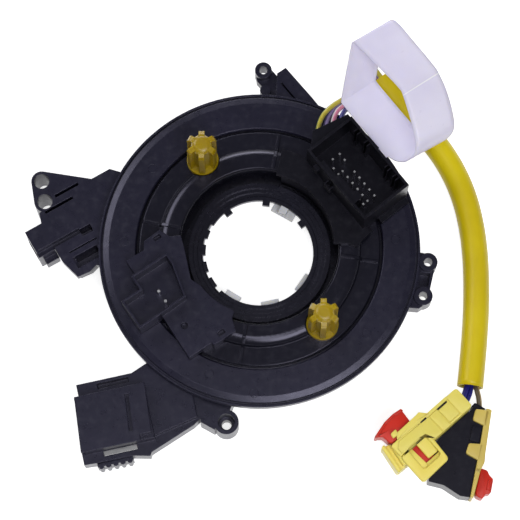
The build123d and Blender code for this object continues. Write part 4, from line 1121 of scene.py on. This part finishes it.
@dataclass
class AirbagLead:
    """Sleeved lead on the table, the wires at both its ends and the two plugs."""

    sleeve_route: tuple[Point, ...] = (
        (41.0, 61.8, 4.3), (50.2, 49.2, 4.3), (60.8, 37.6, 4.3), (68.2, 23.0, 4.3),
        (71.6, 6.0, 4.3), (71.9, -13.0, 4.3), (70.6, -30.5, 4.3), (69.0, -43.4, 4.3),
    )
    sleeve_radius: float = 0.0043
    wire_radius: float = 0.0008
    wires: tuple[Strand, ...] = (
        Strand(
            "green_wire",
            (
                (18.77, 35.58, 26.6), (19.37, 41.2, 26.3), (23.5, 46.5, 24.5), (28.5, 50.5, 20.5),
                (31.5, 56.0, 15.0), (33.0, 62.5, 10.9), (35.5, 65.5, 8.6),
                *in_sleeve(7.15),
            ),
            Palette.GREEN,
            "green_insulation",
        ),
        Strand(
            "violet_wire",
            (
                (21.25, 36.8, 25.4), (21.85, 42.4, 24.8), (25.9, 47.5, 22.1), (30.9, 51.1, 17.3),
                (32.9, 56.7, 12.2), (33.0, 62.5, 8.6), (35.5, 65.5, 6.5),
                *in_sleeve(5.2),
            ),
            Palette.VIOLET,
            "violet_insulation",
        ),
        Strand(
            "white_wire",
            (
                (23.72, 38.04, 26.6), (24.32, 43.6, 25.6), (28.5, 48.4, 20.7), (33.2, 52.0, 14.5),
                (34.2, 57.4, 9.4), (33.0, 62.5, 6.3), (35.5, 65.5, 4.4),
                *in_sleeve(3.25),
            ),
            Palette.WHITE,
            "white_insulation",
        ),
        Strand(
            "blue_wire",
            (
                (26.21, 39.24, 25.4), (26.8, 44.6, 23.9), (31.5, 48.8, 17.7), (35.7, 52.3, 11.3),
                (35.6, 57.6, 6.8), (33.2, 62.0, 4.4), (35.3, 65.4, 2.3),
                *in_sleeve(1.3),
            ),
            Palette.BLUE,
            "blue_insulation",
        ),
    )
    stub_radius: float = 0.0009
    stubs: tuple[Strand, ...] = (
        Strand(
            "plug_wire_left",
            ((68.4, -41.8, 4.9), (67.6, -44.2, 5.6), (66.9, -46.4, 6.6), (65.9, -48.6, 7.0)),
            Palette.BLUE,
            "blue_insulation",
        ),
        Strand(
            "plug_wire_right",
            ((69.4, -41.8, 4.0), (69.2, -44.2, 4.6), (68.5, -46.6, 5.4), (67.2, -49.2, 5.6)),
            Palette.BLUE,
            "blue_insulation",
        ),
        Strand(
            "tan_wire",
            ((70.6, -41.8, 4.6), (71.2, -45.0, 5.4), (71.9, -48.0, 5.4), (71.8, -51.2, 5.0)),
            Palette.BUFF,
            "tan_insulation",
        ),
    )

    def lead_wires(self) -> None:
        """Make the four wires from the switch connector's exits into the sleeve."""
        for wire in self.wires:
            name = wire.node + "_lead"
            cord = Cord(name, wire.route, self.wire_radius, wire.finish, wire.slot, Body.ROTOR, sides=16)
            strand = cord.build()
            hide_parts(wire.node)

    def plug_ends(self) -> list[bpy.types.Object]:
        """Make the plugs and the short wires that reach them from the sleeve.

        Returns:
            Every piece at the sleeve's far end.
        """
        ends = PalePlug().build() + BlackPlug().build()
        for wire in self.stubs:
            name = wire.node + "_stub"
            cord = Cord(name, wire.route, self.stub_radius, wire.finish, wire.slot, Body.FIXED, sides=16)
            stub = cord.build()
            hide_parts(wire.node)
            ends.append(stub)
        return ends

    def build(self) -> None:
        """Make the wires, the plugs and the sleeve that carries them."""
        self.lead_wires()
        ends = self.plug_ends()
        sleeve = Cord(
            "sleeving",
            self.sleeve_route,
            self.sleeve_radius,
            Palette.SLEEVING,
            "yellow_sleeve",
            Body.FIXED,
            Ending.OPEN_BORE,
            sides=40,
        )
        tube = sleeve.build()
        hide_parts("lead_sleeve")


@dataclass(frozen=True)
class Lamp:
    """Square soft lamp that faces the part, with its place and side in metres and its power in watts."""

    name: str
    place: Point
    size: float
    power: float

    def hang(self) -> None:
        """Add the lamp to the scene."""
        data = bpy.data.lights.new(self.name, "AREA")
        data.shape = "SQUARE"
        data.size = self.size
        data.energy = self.power
        lamp = bpy.data.objects.new(self.name, data)
        lamp.location = self.place
        away = np.array(self.place) / np.linalg.norm(self.place)
        lamp.rotation_euler = (math.acos(away[2]), 0.0, math.atan2(away[1], away[0]) + math.pi / 2)
        bpy.context.scene.collection.objects.link(lamp)


@dataclass
class Studio:
    """Camera, floor and soft lamps."""

    target: Point = (0.0, 0.0, 0.019)
    distance: float = 0.765
    elevation: float = 76.5
    sensor: float = 36.0
    focal: float = 162.5
    shift: tuple[float, float] = (0.0011, -0.0237)
    clip: tuple[float, float] = (0.01, 20.0)
    floor_size: float = 3.0
    floor_drop: float = 0.0002
    floor_glow: float = 0.74
    fill_light: float = 0.2
    lamps: tuple[Lamp, ...] = (
        Lamp("key", (0.3, -0.55, 1.0), 0.6, 6.5),
        Lamp("side", (-0.75, 0.5, 0.9), 0.6, 4.5),
        Lamp("top", (0.0, -0.16, 1.15), 0.3, 1.4),
        Lamp("back", (-0.12, 1.1, 0.36), 0.5, 4.0),
    )

    def camera(self) -> None:
        """Set the camera at the photograph's place, height and lens."""
        data = bpy.data.cameras.new("photograph")
        data.sensor_width = self.sensor
        data.lens = self.focal
        data.shift_x, data.shift_y = self.shift
        data.clip_start, data.clip_end = self.clip
        eye = bpy.data.objects.new("photograph", data)
        rise = math.radians(self.elevation)
        eye.location = (
            self.target[0],
            self.target[1] - self.distance * math.cos(rise),
            self.target[2] + self.distance * math.sin(rise),
        )
        eye.rotation_euler = (math.pi / 2 - rise, 0.0, 0.0)
        bpy.context.scene.collection.objects.link(eye)
        bpy.context.scene.camera = eye

    def floor(self) -> None:
        """Lay the white floor, bright to the camera and in gloss, with the part's shadow kept."""
        half = self.floor_size / 2
        corners = [(-half, -half, 0), (half, -half, 0), (half, half, 0), (-half, half, 0)]
        mesh = bpy.data.meshes.new("floor")
        mesh.from_pydata(corners, [], [(0, 1, 2, 3)])
        material = bpy.data.materials.new("white floor")
        material.use_nodes = True
        work = Wiring(material.node_tree)
        shader = material.node_tree.nodes["Principled BSDF"]
        white = (1.0, 1.0, 1.0, 1.0)
        fill(shader, {"Base Color": (0.8, 0.8, 0.81, 1.0), "Roughness": 0.9, "Emission Color": white})
        rays = work.add("ShaderNodeLightPath").outputs
        seen = work.math("MAXIMUM", rays["Is Camera Ray"], rays["Is Glossy Ray"])
        through = work.math("MAXIMUM", seen, rays["Is Transmission Ray"])
        work.join(work.math("MULTIPLY", through, self.floor_glow), shader.inputs["Emission Strength"])
        mesh.materials.append(material)
        slab = bpy.data.objects.new("floor", mesh)
        slab.location = (0.0, 0.0, -self.floor_drop)
        bpy.context.scene.collection.objects.link(slab)

    def world(self) -> None:
        """Fill with even light that shows as white to the camera."""
        world = bpy.data.worlds.new("studio")
        bpy.context.scene.world = world
        world.use_nodes = True
        work = Wiring(world.node_tree)
        shade = world.node_tree.nodes["Background"]
        shade.inputs["Color"].default_value = (1.0, 1.0, 1.0, 1.0)
        rays = work.add("ShaderNodeLightPath")
        strength = work.ramp(rays.outputs["Is Camera Ray"], 0.0, 1.0, self.fill_light, 1.0)
        work.join(strength, shade.inputs["Strength"])

    def build(self) -> None:
        """Set up the whole studio."""
        bpy.context.scene.view_settings.view_transform = "Standard"
        self.camera()
        self.floor()
        for lamp in self.lamps:
            lamp.hang()
        self.world()


def main() -> None:
    """Build the studio and dress every sub-assembly in order."""
    logging.basicConfig(level=logging.INFO, format="%(name)s: %(message)s")
    Studio().build()
    AirbagLead().build()
    FixedSide().dress()
    TurningSide().dress()
    log.info("sizes written")


if __name__ == "__main__":
    main()
